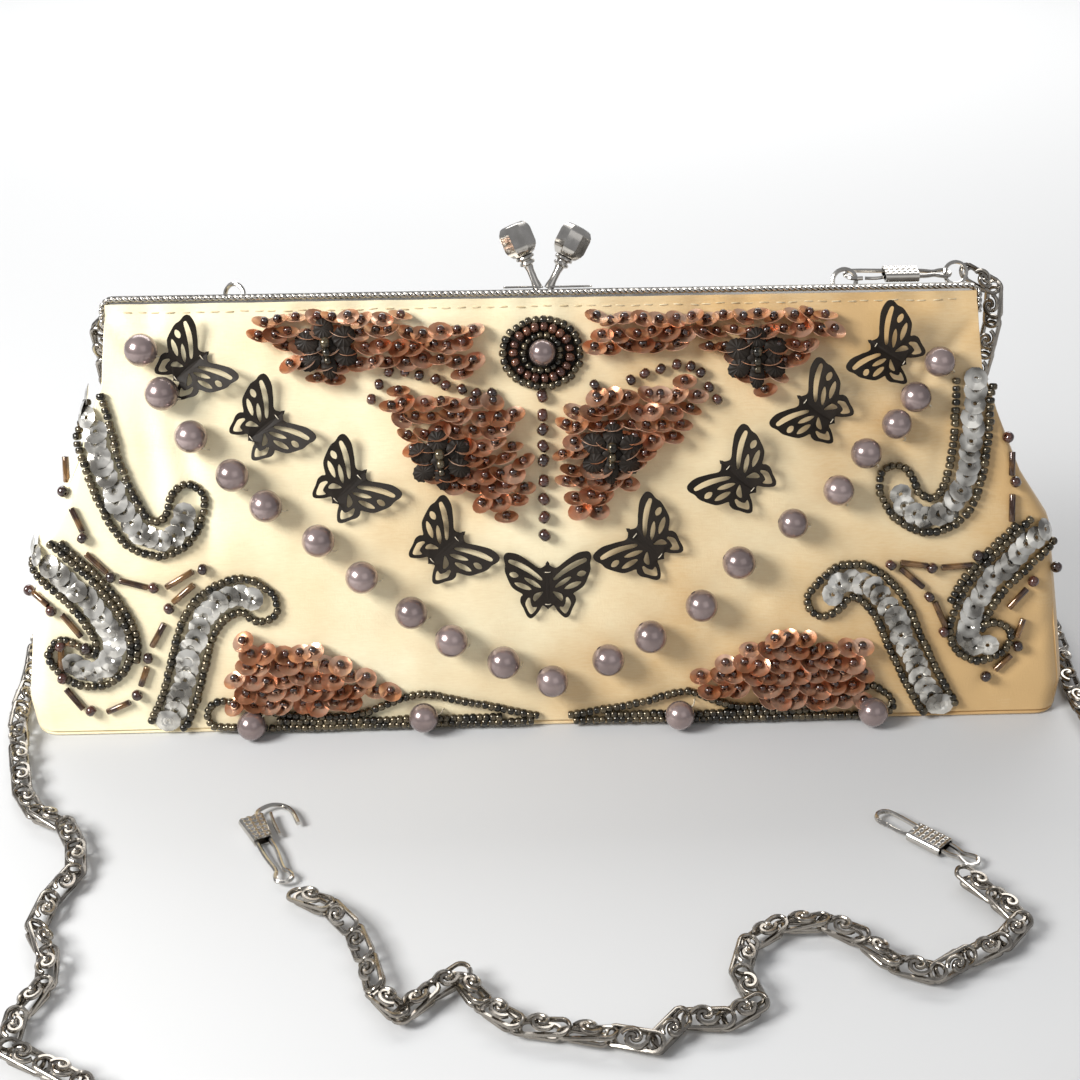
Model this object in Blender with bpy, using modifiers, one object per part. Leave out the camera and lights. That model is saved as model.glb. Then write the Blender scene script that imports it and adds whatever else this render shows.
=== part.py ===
"""Evening bag: a kiss-lock frame on a wedge-shaped fabric body, with two clip-on chains.

The bag stands on its base with its front towards -Y and +Z up.  The origin is the centre of the
base.  Lengths below are millimetres and become metres when a mesh or a curve is made.
"""
import math

import bmesh
import bpy
from mathutils import Matrix, Vector

MM = 0.001
GAP = 0.3                      # left between parts that touch on the real bag

# ---- fabric body -------------------------------------------------------------------------------
BASE_HALF_DEPTH = 25.0
FACE_LENGTH = 109.0            # down the front, from the frame to the base
FRONT_TOP = (11.2, 103.3)      # y, z of the front panel where it meets the frame
BACK_TOP = (19.1, 100.4)
FRONT_BELLY = 3.5              # how far the filled front bows out at mid height
BACK_BELLY = 2.0
FABRIC = 1.2                   # fabric with its stiffening
HALF_WIDTHS = [(0.0, 109.3), (18.5, 111.5), (30.0, 115.5), (45.0, 121.5), (57.0, 129.0),
               (79.0, 131.5), (100.0, 134.0), (109.0, 132.5)]   # distance from frame, half width
CORNER_RADII = [(0.0, 1.0), (25.0, 2.5), (60.0, 6.0), (109.0, 6.5)]
RIM_T = 0.70                   # the back and the gussets stop here, below the moving frame
WALL_FOOT_T = 0.0146           # the walls start just above the base panel
BACK_SEAM, SEAM_TURN = 40, 10  # degrees round a corner: the gusset's edge and the gap to the panel

# ---- frame -------------------------------------------------------------------------------------
FRAME_TILT = math.radians(19.9)
HINGE_Y, HINGE_Z = 9.6, 86.5
FRAME_HALF = 109.0
BAR = 2.4
BAR_TOP = 18.5                 # above the hinge axis
ARM_FOOT = 4.0
RAIL_FAR, RAIL_NEAR = 3.1, 0.15
EAR_RADIUS, EAR_HOLE, EAR_THICK = 3.0, 1.3, 1.0
RIVET_RADIUS, RIVET_HEAD = 1.0, 1.9
ROPE_RADIUS, ROPE_OFFSET, ROPE_LEVEL, ROPE_HALF = 0.6, 4.0, 17.6, 109.4
ROPE_DROP = 4.0
PANEL_TOP = 16.3

# ---- kiss-lock knobs ---------------------------------------------------------------------------
STEM_RADIUS, HEAD_RADIUS, HEAD_LENGTH = 1.15, 4.4, 8.0
STEM_LENGTH = 8.6
KNOB_PLATE = 0.5

# ---- clips and rings ---------------------------------------------------------------------------
CLIP_LENGTH = 28.0
CLIP_WIRE = 0.55
SLEEVE_HALF_WIDTH, SLEEVE_HALF_THICK, SLEEVE_WALL = 3.2, 1.3, 0.5
BAIL_RADIUS, BAIL_WIRE = 3.0, 0.6
LINK_RING_RADIUS, LINK_RING_WIRE = 2.8, 0.5
EYE_INSET = 1.9                # from the eye's outer end to the ring that hangs in it

# ---- chains ------------------------------------------------------------------------------------
CHAIN_RADIUS = 3.0
CHAIN_Z = 3.3                  # centre height of a chain that lies on the table
LONG_CHAIN = [
    (110.5, 24, 104.5), (114, 24.1, 104), (116.3, 23.6, 100), (117, 22.7, 91),
    (116.6, 25, 79), (116.4, 28.6, 67), (118, 30.5, 50), (122, 31.5, 32), (128, 32, 16),
    (134, 33, 6.5), (140, 30, 3.3), (142, 20, 3.3), (141, 4, 3.3), (138.5, -11, 3.3),
    (138, -24, 3.3), (139, -36, 3.3), (142, -54, 3.3), (139, -78, 3.3), (131, -104, 3.3),
    (124, -130, 3.3), (112, -150, 3.3), (92, -158, 3.3), (60, -159, 3.3), (20, -159, 3.3),
    (-20, -159, 3.3), (-48, -160, 3.3), (-58, -168, 3.3), (-48, -176, 3.3), (-10, -177, 3.3),
    (24, -178, 3.3), (35, -186, 3.3), (24, -194, 3.3), (-20, -195, 3.3), (-60, -193, 3.3),
    (-82, -182, 3.3), (-88, -164, 3.3), (-93, -148, 3.3), (-103, -142, 3.3),
    (-110, -139, 3.3), (-112, -131, 3.3), (-108, -122, 3.3), (-108, -112, 3.3),
    (-113, -104, 3.3), (-113, -94, 3.3), (-109, -84, 3.3), (-111, -74, 3.3),
    (-116, -65, 3.3), (-123, -61, 3.3), (-128, -54, 3.3), (-131.5, -42, 3.3),
    (-135, -30, 3.3), (-137.5, -16, 3.3), (-138.5, 0, 3.3), (-141, 17, 3.3),
    (-140, 29, 3.3), (-133, 33, 6), (-127, 32.5, 15), (-121, 31.5, 31),
    (-116.5, 30.5, 50), (-114.4, 29, 66), (-114, 26, 79), (-113.8, 23.5, 89),
    (-113.7, 22.3, 95.5)]
SHORT_CHAIN = [
    (-59, -92), (-53, -95.5), (-47, -102), (-43, -110), (-40.5, -119), (-37.5, -127),
    (-32, -131), (-28, -125), (-25, -119), (-20, -121), (-17, -128), (-11, -134), (-3, -136),
    (6, -137), (14, -141), (20.5, -139.5), (23.5, -133.5), (29, -133), (34.5, -135.5),
    (39, -130), (36.5, -122), (39, -113), (46, -107), (55, -105.5), (62, -109), (67, -117),
    (74, -123.5), (82, -121.5), (87.5, -115.5), (94.5, -113.5), (99.5, -108), (98, -101),
    (92.5, -97), (90.5, -91.5)]

# ---- stampings on the front --------------------------------------------------------------------
TRIM_LIFT = 1.3                # from the fabric to the back of a stamping
WING_THICK = 0.35
BUTTERFLY = [
    (0, 5.5), (2.1, 4.4), (4.8, 6.3), (7.65, 8.2), (10.3, 8.7), (11.2, 7.65), (10.9, 5.7),
    (11.0, 4.2), (10.5, 2.5), (9.4, 0), (8.2, -1.15), (6.5, -2.3), (7.0, -3.1), (7.1, -4.4),
    (6.3, -6.1), (5.5, -8.0), (4.5, -8.7), (3.4, -8.0), (2.3, -6.7), (1.5, -5.4), (0, -6.4)]
# half of the row: distance from the centre line, distance from the frame, turn in degrees
BUTTERFLY_ROW = [(0, 71, 0), (25, 60.5, 50), (48, 43.5, 50), (67, 27.5, 50), (85.5, 13, 50)]
FLOWERS = [(-52.5, 13.5), (-24.5, 39), (18.5, 39), (53, 16)]
FLOWER_RADIUS, FLOWER_THICK = 7.2, 0.8
ROSETTE_CENTRE = (-0.5, 13.2)
ROSETTE_HALF = (9.0, 7.6)
ROSETTE_WIRE = 1.3
PEARL_RADIUS = 3.25


# ---- small tools -------------------------------------------------------------------------------
def start_clean():
    for item in list(bpy.data.objects):
        bpy.data.objects.remove(item, do_unlink=True)


def new_collection(name):
    group = bpy.data.collections.new(name)
    bpy.context.scene.collection.children.link(group)
    return group


def material(name, colour, roughness, metallic):
    mat = bpy.data.materials.new(name)
    mat.use_nodes = True
    shader = mat.node_tree.nodes["Principled BSDF"]
    shader.inputs["Base Color"].default_value = (*colour, 1)
    shader.inputs["Roughness"].default_value = roughness
    shader.inputs["Metallic"].default_value = metallic
    return mat


def metres(point):
    return Vector(point) * MM


def add(name, data, mat, parent=None, matrix=None):
    """Put a mesh or a curve in the bag's collection, placed in its parent's axes."""
    obj = bpy.data.objects.new(name, data)
    PARTS.objects.link(obj)
    data.materials.append(mat)
    obj.parent = parent
    if matrix is not None:
        obj.matrix_basis = matrix
    return obj


def add_modifier(obj, kind, **settings):
    mod = obj.modifiers.new(kind.title(), kind)
    for key, value in settings.items():
        setattr(mod, key, value)
    return mod


def smooth(mesh, degrees=40):
    mesh.shade_smooth()
    mesh.set_sharp_from_angle(angle=math.radians(degrees))


def wire_curve(points, radius, cyclic=False):
    """A round wire through points given in millimetres."""
    curve = bpy.data.curves.new("wire", "CURVE")
    curve.dimensions = "3D"
    spline = curve.splines.new("POLY")
    spline.points.add(len(points) - 1)
    for knot, point in zip(spline.points, points):
        knot.co = (*metres(point), 1)
    spline.use_cyclic_u = cyclic
    curve.bevel_depth = radius * MM
    curve.bevel_resolution = 2
    curve.use_fill_caps = not cyclic
    return curve


def plate_curve(outlines, thickness):
    """A flat plate in the XY plane; every outline after the first is a hole."""
    curve = bpy.data.curves.new("plate", "CURVE")
    curve.dimensions = "2D"
    curve.fill_mode = "BOTH"
    curve.extrude = thickness * MM / 2
    for outline in outlines:
        spline = curve.splines.new("POLY")
        spline.points.add(len(outline) - 1)
        for knot, (x, y) in zip(spline.points, outline):
            knot.co = (x * MM, y * MM, 0, 1)
        spline.use_cyclic_u = True
    return curve


def as_mesh(obj):
    """Replace a curve object by a mesh object with welded caps, for a Boolean."""
    bpy.context.view_layer.update()
    graph = bpy.context.evaluated_depsgraph_get()
    mesh = bpy.data.meshes.new_from_object(obj.evaluated_get(graph))
    work = bmesh.new()
    work.from_mesh(mesh)
    bmesh.ops.remove_doubles(work, verts=work.verts, dist=1e-6)
    work.to_mesh(mesh)
    work.free()
    name, parent, place = obj.name, obj.parent, obj.matrix_world.copy()
    bpy.data.objects.remove(obj)
    fresh = bpy.data.objects.new(name, mesh)
    PARTS.objects.link(fresh)
    fresh.parent = parent
    fresh.matrix_world = place
    return fresh


def as_cutter(obj):
    """Move an object to the cutters' collection, where it is a guide and not a part."""
    PARTS.objects.unlink(obj)
    CUTTERS.objects.link(obj)
    obj.hide_render = True
    obj.display_type = "WIRE"
    return obj


def boolean(obj, other, operation):
    add_modifier(obj, "BOOLEAN", object=as_cutter(other), operation=operation, solver="EXACT")


def ring_points(centre, radius, axis, count=16):
    """Points round a circle about an axis."""
    turn = Vector((0, 0, 1)).rotation_difference(Vector(axis).normalized())
    angles = [2 * math.pi * i / count for i in range(count)]
    flat = [Vector((radius * math.cos(a), radius * math.sin(a), 0)) for a in angles]
    return [Vector(centre) + turn @ p for p in flat]


def lookup(table, s):
    """Read a value from (position, value) pairs, straight between neighbours."""
    if s <= table[0][0]:
        return table[0][1]
    for (s0, v0), (s1, v1) in zip(table, table[1:]):
        if s <= s1:
            k = (s - s0) / (s1 - s0)
            return v0 + (v1 - v0) * k
    return table[-1][1]


def smooth_route(points, spacing):
    """Evenly spaced points on a smooth curve through the route's own points."""
    knots = [Vector(p) for p in points]
    ends = [2 * knots[0] - knots[1]] + knots + [2 * knots[-1] - knots[-2]]
    fine = []
    for a, b, c, d in zip(ends, ends[1:], ends[2:], ends[3:]):
        for k in range(12):
            u = k / 12
            fine.append(0.5 * (2 * b + (c - a) * u + (2 * a - 5 * b + 4 * c - d) * u ** 2
                               + (3 * b - a - 3 * c + d) * u ** 3))
    fine.append(knots[-1])
    lengths = [0.0]
    for a, b in zip(fine, fine[1:]):
        lengths.append(lengths[-1] + (b - a).length)
    count = round(lengths[-1] / spacing)
    even, at = [], 0
    for i in range(count + 1):
        target = lengths[-1] * i / count
        while at < len(fine) - 2 and lengths[at + 1] < target:
            at += 1
        step = lengths[at + 1] - lengths[at]
        even.append(fine[at].lerp(fine[at + 1], (target - lengths[at]) / step))
    return even


# ---- the body's shape --------------------------------------------------------------------------
def front_profile(t):
    bow = FRONT_BELLY * math.sin(math.pi * t)
    return Vector((-BASE_HALF_DEPTH + (FRONT_TOP[0] + BASE_HALF_DEPTH) * t - bow, FRONT_TOP[1] * t))


def back_profile(t):
    bow = BACK_BELLY * math.sin(math.pi * t)
    return Vector((BASE_HALF_DEPTH + (BACK_TOP[0] - BASE_HALF_DEPTH) * t + bow, BACK_TOP[1] * t))


def half_width(t):
    return lookup(HALF_WIDTHS, (1 - t) * FACE_LENGTH)


def body_point(t, side, depth, x, inset=0.0):
    """Place a point of the section at height share t; depth runs from -1 front to 1 back."""
    front, back = front_profile(t), back_profile(t)
    middle, half = (front + back) / 2, (back - front).length / 2
    across = (back - front).normalized()
    y, z = middle + across * (half - inset) * depth
    return Vector((side * (x - inset), y, z))


def corner_radius(t):
    half = (back_profile(t) - front_profile(t)).length / 2
    return min(lookup(CORNER_RADII, (1 - t) * FACE_LENGTH), 0.9 * half)


def corner_arc(t, side, towards, start, end, steps, inset=0.0):
    """Part of a rounded corner; 0 degrees faces sideways and 90 faces front or back."""
    width, radius = half_width(t), corner_radius(t)
    half = (back_profile(t) - front_profile(t)).length / 2
    points = []
    for i in range(steps + 1):
        a = math.radians(start + (end - start) * i / steps)
        depth = (half - radius + radius * math.sin(a)) / half
        points.append(body_point(t, side, towards * depth, width - radius + radius * math.cos(a), inset))
    return points


def loft(name, rows, mat, thickness, parent=None, closed=False, cap=False):
    """A skin through rows of points, thickened towards the inside of the bag."""
    work = bmesh.new()
    grid = [[work.verts.new(metres(p)) for p in row] for row in rows]
    for low, high in zip(grid, grid[1:]):
        pairs = list(zip(range(len(low)), range(1, len(low))))
        if closed:
            pairs.append((len(low) - 1, 0))
        for i, j in pairs:
            work.faces.new((low[i], low[j], high[j], high[i]))
    if cap:
        work.faces.new(grid[0])
    bmesh.ops.recalc_face_normals(work, faces=work.faces)
    mesh = bpy.data.meshes.new(name)
    work.to_mesh(mesh)
    work.free()
    smooth(mesh)
    obj = add(name, mesh, mat, parent)
    add_modifier(obj, "SOLIDIFY", thickness=thickness * MM, offset=-1, use_even_offset=True)
    return obj


def face_outwards(obj, direction):
    """Flip a skin whose faces look into the bag, so that it thickens inwards."""
    mesh = obj.data
    total = sum((face.normal * face.area for face in mesh.polygons), Vector())
    if total.dot(Vector(direction)) < 0:
        mesh.flip_normals()


def heights(low, high, steps):
    return [low + (high - low) * i / steps for i in range(steps + 1)]


def flat_wall(name, towards, low, high, mat):
    """The front or the back panel, from corner to corner."""
    rows = []
    for t in heights(low, high, 10):
        left = corner_arc(t, -1, towards, BACK_SEAM + SEAM_TURN, 90, 3)
        right = corner_arc(t, 1, towards, 90, BACK_SEAM + SEAM_TURN, 3)
        first, last = left[-1], right[0]
        middle = [first.lerp(last, k / 8) for k in range(1, 8)]
        rows.append(left + middle + right)
    obj = loft(name, rows, mat, FABRIC)
    face_outwards(obj, (0, towards, 0))
    return obj


def front_seam(t):
    """Where round the corner the front panel's seam runs: it moves on to the face near the top."""
    share = min(max((t - 0.6) / 0.15, 0), 1)
    return BACK_SEAM + (76 - BACK_SEAM) * share


def flat_front(name, mat):
    """The front panel; its seams move to the flat face where the gusset ends."""
    def row(t):
        seam = front_seam(t) + SEAM_TURN
        left = corner_arc(t, -1, -1, seam, 90, 3)
        right = corner_arc(t, 1, -1, 90, seam, 3)
        middle = [left[-1].lerp(right[0], k / 8) for k in range(1, 8)]
        return left + middle + right
    obj = loft(name, [row(t) for t in heights(WALL_FOOT_T, 1.0, 14)], mat, 0.9)
    face_outwards(obj, (0, -1, 0))
    return obj


def gusset(name, side, mat):
    rows = []
    for t in heights(WALL_FOOT_T, RIM_T, 9):
        front = corner_arc(t, side, -1, front_seam(t), 0, 3)
        back = corner_arc(t, side, 1, 0, BACK_SEAM, 3)
        rows.append(front + back)
    obj = loft(name, rows, mat, FABRIC)
    face_outwards(obj, (side, 0, 0))
    return obj


def section_loop(t, inset):
    """A whole closed section, a distance inside the outer surface."""
    return (corner_arc(t, 1, -1, 90, 0, 3, inset) + corner_arc(t, 1, 1, 0, 90, 3, inset)
            + corner_arc(t, -1, 1, 90, 0, 3, inset) + corner_arc(t, -1, -1, 0, 90, 3, inset))


def rounded_plate(half_x, half_y, radius):
    outline = []
    for sx, sy, first in ((1, 1, 0), (-1, 1, 90), (-1, -1, 180), (1, -1, 270)):
        for i in range(5):
            a = math.radians(first + 90 * i / 4)
            outline.append((sx * (half_x - radius) + radius * math.cos(a),
                            sy * (half_y - radius) + radius * math.sin(a)))
    return outline


def make_body():
    base = add("base_panel", plate_curve([rounded_plate(132.5, BASE_HALF_DEPTH, 6.5)], FABRIC), SATIN)
    base.location.z = FABRIC * MM / 2
    board = add("base_board", plate_curve([rounded_plate(129, 21.5, 5)], 2.0), BOARD)
    board.location.z = 2.6 * MM
    flat_front("front_panel", SATIN)
    flat_wall("back_panel", 1, WALL_FOOT_T, RIM_T, SATIN)
    gusset("left_gusset", -1, SATIN)
    gusset("right_gusset", 1, SATIN)
    rows = [section_loop(t, FABRIC + 2 * GAP) for t in heights(0.043, RIM_T - 0.03, 8)]
    loft("lining", rows, LINING, 0.5, closed=True, cap=True)


# ---- the frame ---------------------------------------------------------------------------------
def frame_empty(name):
    """An empty on the hinge axis, leaning back as the closed frame does."""
    empty = bpy.data.objects.new(name, None)
    PARTS.objects.link(empty)
    empty.location = metres((0, HINGE_Y, HINGE_Z))
    empty.rotation_euler = (-FRAME_TILT, 0, 0)
    return empty


def arch_outline():
    """Half turns into the whole outline of a rail: a flat bar with an arm at each end."""
    outer = [(FRAME_HALF, ARM_FOOT), (FRAME_HALF, BAR_TOP - 2)]
    outer += [(FRAME_HALF - 2 + 2 * math.cos(a), BAR_TOP - 2 + 2 * math.sin(a))
              for a in (math.pi / 6, math.pi / 3, math.pi / 2)]
    inner = [(FRAME_HALF - BAR, BAR_TOP - BAR), (FRAME_HALF - BAR, ARM_FOOT)]
    right = outer + [(-x, y) for x, y in reversed(outer)]
    return right + [(-x, y) for x, y in inner[::-1]] + inner


def rail(name, parent, towards, ear_x):
    """One half of the frame: a bent bar whose two ears turn about the hinge rivets."""
    middle = towards * (RAIL_FAR + RAIL_NEAR) / 2
    upright = Matrix.Translation(metres((0, middle, 0))) @ Matrix.Rotation(math.pi / 2, 4, "X")
    bar = add(name, plate_curve([arch_outline()], RAIL_FAR - RAIL_NEAR), NICKEL, parent, upright)
    bar = as_mesh(bar)
    disc = [(EAR_RADIUS * math.cos(a), EAR_RADIUS * math.sin(a))
            for a in [2 * math.pi * i / 16 for i in range(16)]]
    hole = [(x * EAR_HOLE / EAR_RADIUS, y * EAR_HOLE / EAR_RADIUS) for x, y in disc]
    across = Matrix(((0, 0, 1, 0), (1, 0, 0, 0), (0, 1, 0, 0), (0, 0, 0, 1)))
    neck = [(towards * RAIL_FAR, 1.2), (towards * RAIL_FAR, ARM_FOOT + 1),
            (towards * RAIL_NEAR, ARM_FOOT + 1), (towards * RAIL_NEAR, 2.2)]
    for side in (-1, 1):
        place = Matrix.Translation(metres((side * (ear_x + EAR_THICK / 2), 0, 0))) @ across
        ear = add(f"{name}_ear", plate_curve([disc, hole], EAR_THICK), NICKEL, parent, place)
        boolean(bar, as_mesh(ear), "UNION")
        web = add(f"{name}_neck", plate_curve([neck], EAR_THICK), NICKEL, parent, place)
        boolean(bar, as_mesh(web), "UNION")
    return bar


def rope_edge(name, parent, towards):
    """The twisted wire that trims the rail, turned down at each end."""
    corner = 2.5
    half = [(ROPE_HALF, towards * ROPE_OFFSET, ROPE_LEVEL - corner - ROPE_DROP)]
    for i in range(5):
        a = math.pi / 2 * i / 4
        half.append((ROPE_HALF - corner + corner * math.cos(a), towards * ROPE_OFFSET,
                     ROPE_LEVEL - corner + corner * math.sin(a)))
    points = half + [(-x, y, z) for x, y, z in reversed(half)]
    add(name, wire_curve(points, ROPE_RADIUS), NICKEL, parent)


def rivet(name, parent, side):
    """A headed pin through both ears, turned about the hinge axis."""
    profile = [(0, 105.4), (RIVET_HEAD, 105.6), (RIVET_HEAD, 106.3), (RIVET_RADIUS, 106.3),
               (RIVET_RADIUS, 109.2), (RIVET_HEAD, 109.2), (RIVET_HEAD * 0.7, 110.0), (0, 110.2)]
    mesh = bpy.data.meshes.new(name)
    mesh.from_pydata([(r * MM, 0, z * MM) for r, z in reversed(profile)],
                     [(i, i + 1) for i in range(len(profile) - 1)], [])
    pin = add(name, mesh, NICKEL, parent, Matrix.Rotation(side * math.pi / 2, 4, "Y"))
    add_modifier(pin, "SCREW", steps=12, render_steps=12, merge_threshold=1e-5,
                 use_merge_vertices=True, use_smooth_shade=True)


def knob(name, parent, root, lean, nod, plate_from, plate_to):
    """A leaning stem with two collars and an eight-sided head, on a plate along the rail."""
    radii = [(0, 0), (STEM_RADIUS * 0.8, 0), (STEM_RADIUS * 0.9, 2), (STEM_RADIUS, 6.2),
             (1.85, 6.4), (1.85, 7.2), (1.5, 7.4), (2.3, 7.9), (2.3, STEM_LENGTH),
             (HEAD_RADIUS - 0.9, STEM_LENGTH), (HEAD_RADIUS, STEM_LENGTH + 0.9),
             (HEAD_RADIUS, STEM_LENGTH + HEAD_LENGTH - 0.9),
             (HEAD_RADIUS - 0.9, STEM_LENGTH + HEAD_LENGTH), (0, STEM_LENGTH + HEAD_LENGTH + 0.3)]
    mesh = bpy.data.meshes.new(name)
    mesh.from_pydata([(r * MM, 0, z * MM) for r, z in reversed(radii)],
                     [(i, i + 1) for i in range(len(radii) - 1)], [])
    lift = BAR_TOP + GAP
    turn = Matrix.Rotation(math.radians(lean), 4, "Y") @ Matrix.Rotation(math.radians(nod), 4, "X")
    place = Matrix.Translation(metres((root[0], root[1], lift + 0.1))) @ turn
    stem = add(name, mesh, NICKEL, parent, place)
    add_modifier(stem, "SCREW", steps=8, render_steps=8, merge_threshold=1e-5,
                 use_merge_vertices=True)
    stem = as_mesh(stem)
    foot = [(plate_from, root[1] - 1.3), (plate_to, root[1] - 1.3),
            (plate_to, root[1] + 1.3), (plate_from, root[1] + 1.3)]
    under = Matrix.Translation(metres((0, 0, lift + KNOB_PLATE / 2)))
    plate = add(f"{name}_plate", plate_curve([foot], KNOB_PLATE), NICKEL, parent, under)
    boolean(stem, as_mesh(plate), "UNION")
    stem.data.materials.clear()
    stem.data.materials.append(NICKEL)


def back_top_panel(parent):
    """The strip of back fabric sewn to the back half of the frame."""
    low, high = ARM_FOOT + 1, PANEL_TOP
    rows = [[(x, 4.2, z) for x in heights(-106.9, 106.9, 6)] for z in (low, high)]
    strip = loft("back_top_panel", rows, SATIN, 0.9, parent)
    face_outwards(strip, (0, 1, 0))


def make_frame():
    front = frame_empty("front_frame_axis")
    back = frame_empty("back_frame_axis")
    rail("front_frame_rail", front, -1, 107.9)
    rail("back_frame_rail", back, 1, 106.6)
    rope_edge("front_rope_edge", front, -1)
    rope_edge("back_rope_edge", back, 1)
    rivet("hinge_rivet_left", front, -1)
    rivet("hinge_rivet_right", front, 1)
    knob("front_knob", front, (-1.2, -1.65), -22, 3, -9.8, 0.2)
    knob("back_knob", back, (1.8, 1.65), 28, -3, 0.9, 12.6)
    back_top_panel(back)
    return back


# ---- clips, rings and chains -------------------------------------------------------------------
def clip_axes(eye, along, side):
    """Axes of a clip: u from the eye to the hook, v across it, n through its thickness."""
    u = Vector(along).normalized()
    v = Vector(side).normalized()
    n = u.cross(v)
    turn = Matrix((u, v, n)).transposed().to_4x4()
    return Matrix.Translation(metres(eye)) @ turn


def sleeve(name, parent, place, start, end):
    """The flattened tube that holds the clip's wires together."""
    outlines = []
    for wall in (0, SLEEVE_WALL):
        half, thick = SLEEVE_HALF_WIDTH - wall, SLEEVE_HALF_THICK - wall
        arc = []
        for side in (1, -1):
            for i in range(7):
                a = math.pi * i / 6 - math.pi / 2
                arc.append((side * (half - thick + thick * math.cos(a)), side * thick * math.sin(a)))
        outlines.append(arc)
    stand = Matrix(((0, 0, 1, 0), (1, 0, 0, 0), (0, 1, 0, 0), (0, 0, 0, 1)))
    shift = Matrix.Translation(metres(((start + end) / 2, 0, 0)))
    add(name, plate_curve(outlines, end - start), NICKEL, parent, place @ shift @ stand)


def clip(prefix, parent, place):
    """A chain clip: wire bent to an eye and a hook, a sleeve round it and a sprung gate."""
    inner = CLIP_LENGTH - CLIP_WIRE
    hook = [(23.6, -2.3), (26.2, -2.2), (27.1, -1.4), (inner, 0), (27.1, 1.5), (26.2, 2.3),
            (18.4, 2.2), (17, 1.8), (9, 1.7), (7.5, 1.6), (4.6, 1.0), (2.6, 1.9), (1.0, 1.5),
            (CLIP_WIRE, 0), (1.0, -1.5), (2.6, -1.9), (4.6, -1.0), (7.5, -1.6), (10.5, -1.6)]
    add(f"{prefix}_hook", wire_curve([(u, v, 0) for u, v in hook], CLIP_WIRE), NICKEL, parent, place)
    sleeve(f"{prefix}_sleeve", parent, place, 9, 17.5)
    swing = [(15.5, -1.3), (17.2, -1.5), (19.2, -2.3), (22.7, -2.3)]
    pivot = Matrix.Translation(metres((swing[0][0], swing[0][1], 0)))
    gate = [(u - swing[0][0], v - swing[0][1], 0) for u, v in swing]
    add(f"{prefix}_gate", wire_curve(gate, 0.45), NICKEL, parent, place @ pivot)


def open_clip(prefix, place):
    """The same kind of clip with its hook turned out to one side of the sleeve."""
    hook = [(19.5, 9.4), (24, 9.6), (27.4, 8.6), (29.2, 6.2), (28.8, 3.2), (27, 1.4), (24, 1.3),
            (17, 1.5), (15.5, 1.9), (5.5, 0.95), (2.8, 2.1), (1.0, 1.6), (CLIP_WIRE, 0),
            (1.0, -1.6), (2.8, -2.1), (5.5, -0.95), (15.5, -1.6), (24, -1.6)]
    add(f"{prefix}_hook", wire_curve([(u, v, 0) for u, v in hook], CLIP_WIRE), NICKEL, None, place)
    sleeve(f"{prefix}_sleeve", None, place, 17, 26)
    pivot = Matrix.Translation(metres((17.6, 4.1, 0)))
    gate = [(0, 0, 0), (4.4, 0.2, 0), (8.7, 0.7, 0)]
    add(f"{prefix}_gate", wire_curve(gate, 0.45), NICKEL, None, place @ pivot)


def ring(name, parent, centre, radius, wire, axis):
    points = ring_points(centre, radius, axis)
    add(name, wire_curve(points, wire, cyclic=True), NICKEL, parent)


def make_fittings(back):
    ring("bail_right", back, (77.3, 5.5, 19.3), BAIL_RADIUS, BAIL_WIRE, (0, 1, 0))
    clip("frame_clip_right", back, clip_axes((104.9, 5.5, 20.9), (-1, 0, 0), (0, 0.906, 0.423)))
    ring("chain_ring_right", back, (104.9 - EYE_INSET + LINK_RING_RADIUS, 5.5, 20.9),
         LINK_RING_RADIUS, LINK_RING_WIRE, (0, 1, 0))
    ring("bail_left", back, (-78.2, 7.6, 18.2), BAIL_RADIUS, BAIL_WIRE, (0.5, 0.866, 0))
    clip("frame_clip_left", back, clip_axes((-102.4, 7.6, 14.4), (1, 0, 0), (0, 0, 1)))
    ring("chain_ring_left", back, (-102.4 + EYE_INSET - LINK_RING_RADIUS, 7.6, 14.4),
         LINK_RING_RADIUS, LINK_RING_WIRE, (0, 0, 1))
    lying = SLEEVE_HALF_THICK + GAP
    clip("table_clip_right", None,
         clip_axes((95.5, -87, lying), (-0.69, 0.72, 0), (0.72, 0.69, 0)))
    open_clip("table_clip_left",
              clip_axes((-61, -87.5, lying), (-0.42, 0.907, 0), (0.907, 0.42, 0)))


def make_chains():
    long_route = smooth_route(LONG_CHAIN, 4.5 * CHAIN_RADIUS)
    add("shoulder_chain", wire_curve(long_route, CHAIN_RADIUS), NICKEL)
    short_route = smooth_route([(x, y, CHAIN_Z) for x, y in SHORT_CHAIN], 2 * CHAIN_RADIUS)
    add("wrist_chain", wire_curve(short_route, CHAIN_RADIUS), NICKEL)


# ---- trim on the front -------------------------------------------------------------------------
def on_front(x, s, lift, turn=0.0):
    """Axes lying on the front: x across, s down from the frame, lifted off the fabric."""
    t = 1 - s / FACE_LENGTH
    here, above = front_profile(t - 0.01), front_profile(t + 0.01)
    up = Vector((0, above.x - here.x, above.y - here.y)).normalized()
    out = Vector((1, 0, 0)).cross(up)
    y, z = front_profile(t)
    centre = Vector((x, y, z)) + out * lift
    axes = Matrix((Vector((1, 0, 0)), up, out)).transposed().to_4x4()
    return Matrix.Translation(metres(centre)) @ axes @ Matrix.Rotation(math.radians(turn), 4, "Z")


def make_butterflies():
    outline = BUTTERFLY + [(-x, y) for x, y in reversed(BUTTERFLY[1:-1])]
    places = [(-x, s, -turn) for x, s, turn in BUTTERFLY_ROW[:0:-1]] + BUTTERFLY_ROW
    for number, (x, s, turn) in enumerate(places, 1):
        shape = plate_curve([outline], WING_THICK)
        place = on_front(x, s, TRIM_LIFT + WING_THICK / 2, turn)
        add(f"butterfly_{number}", shape, JET, None, place)


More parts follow.
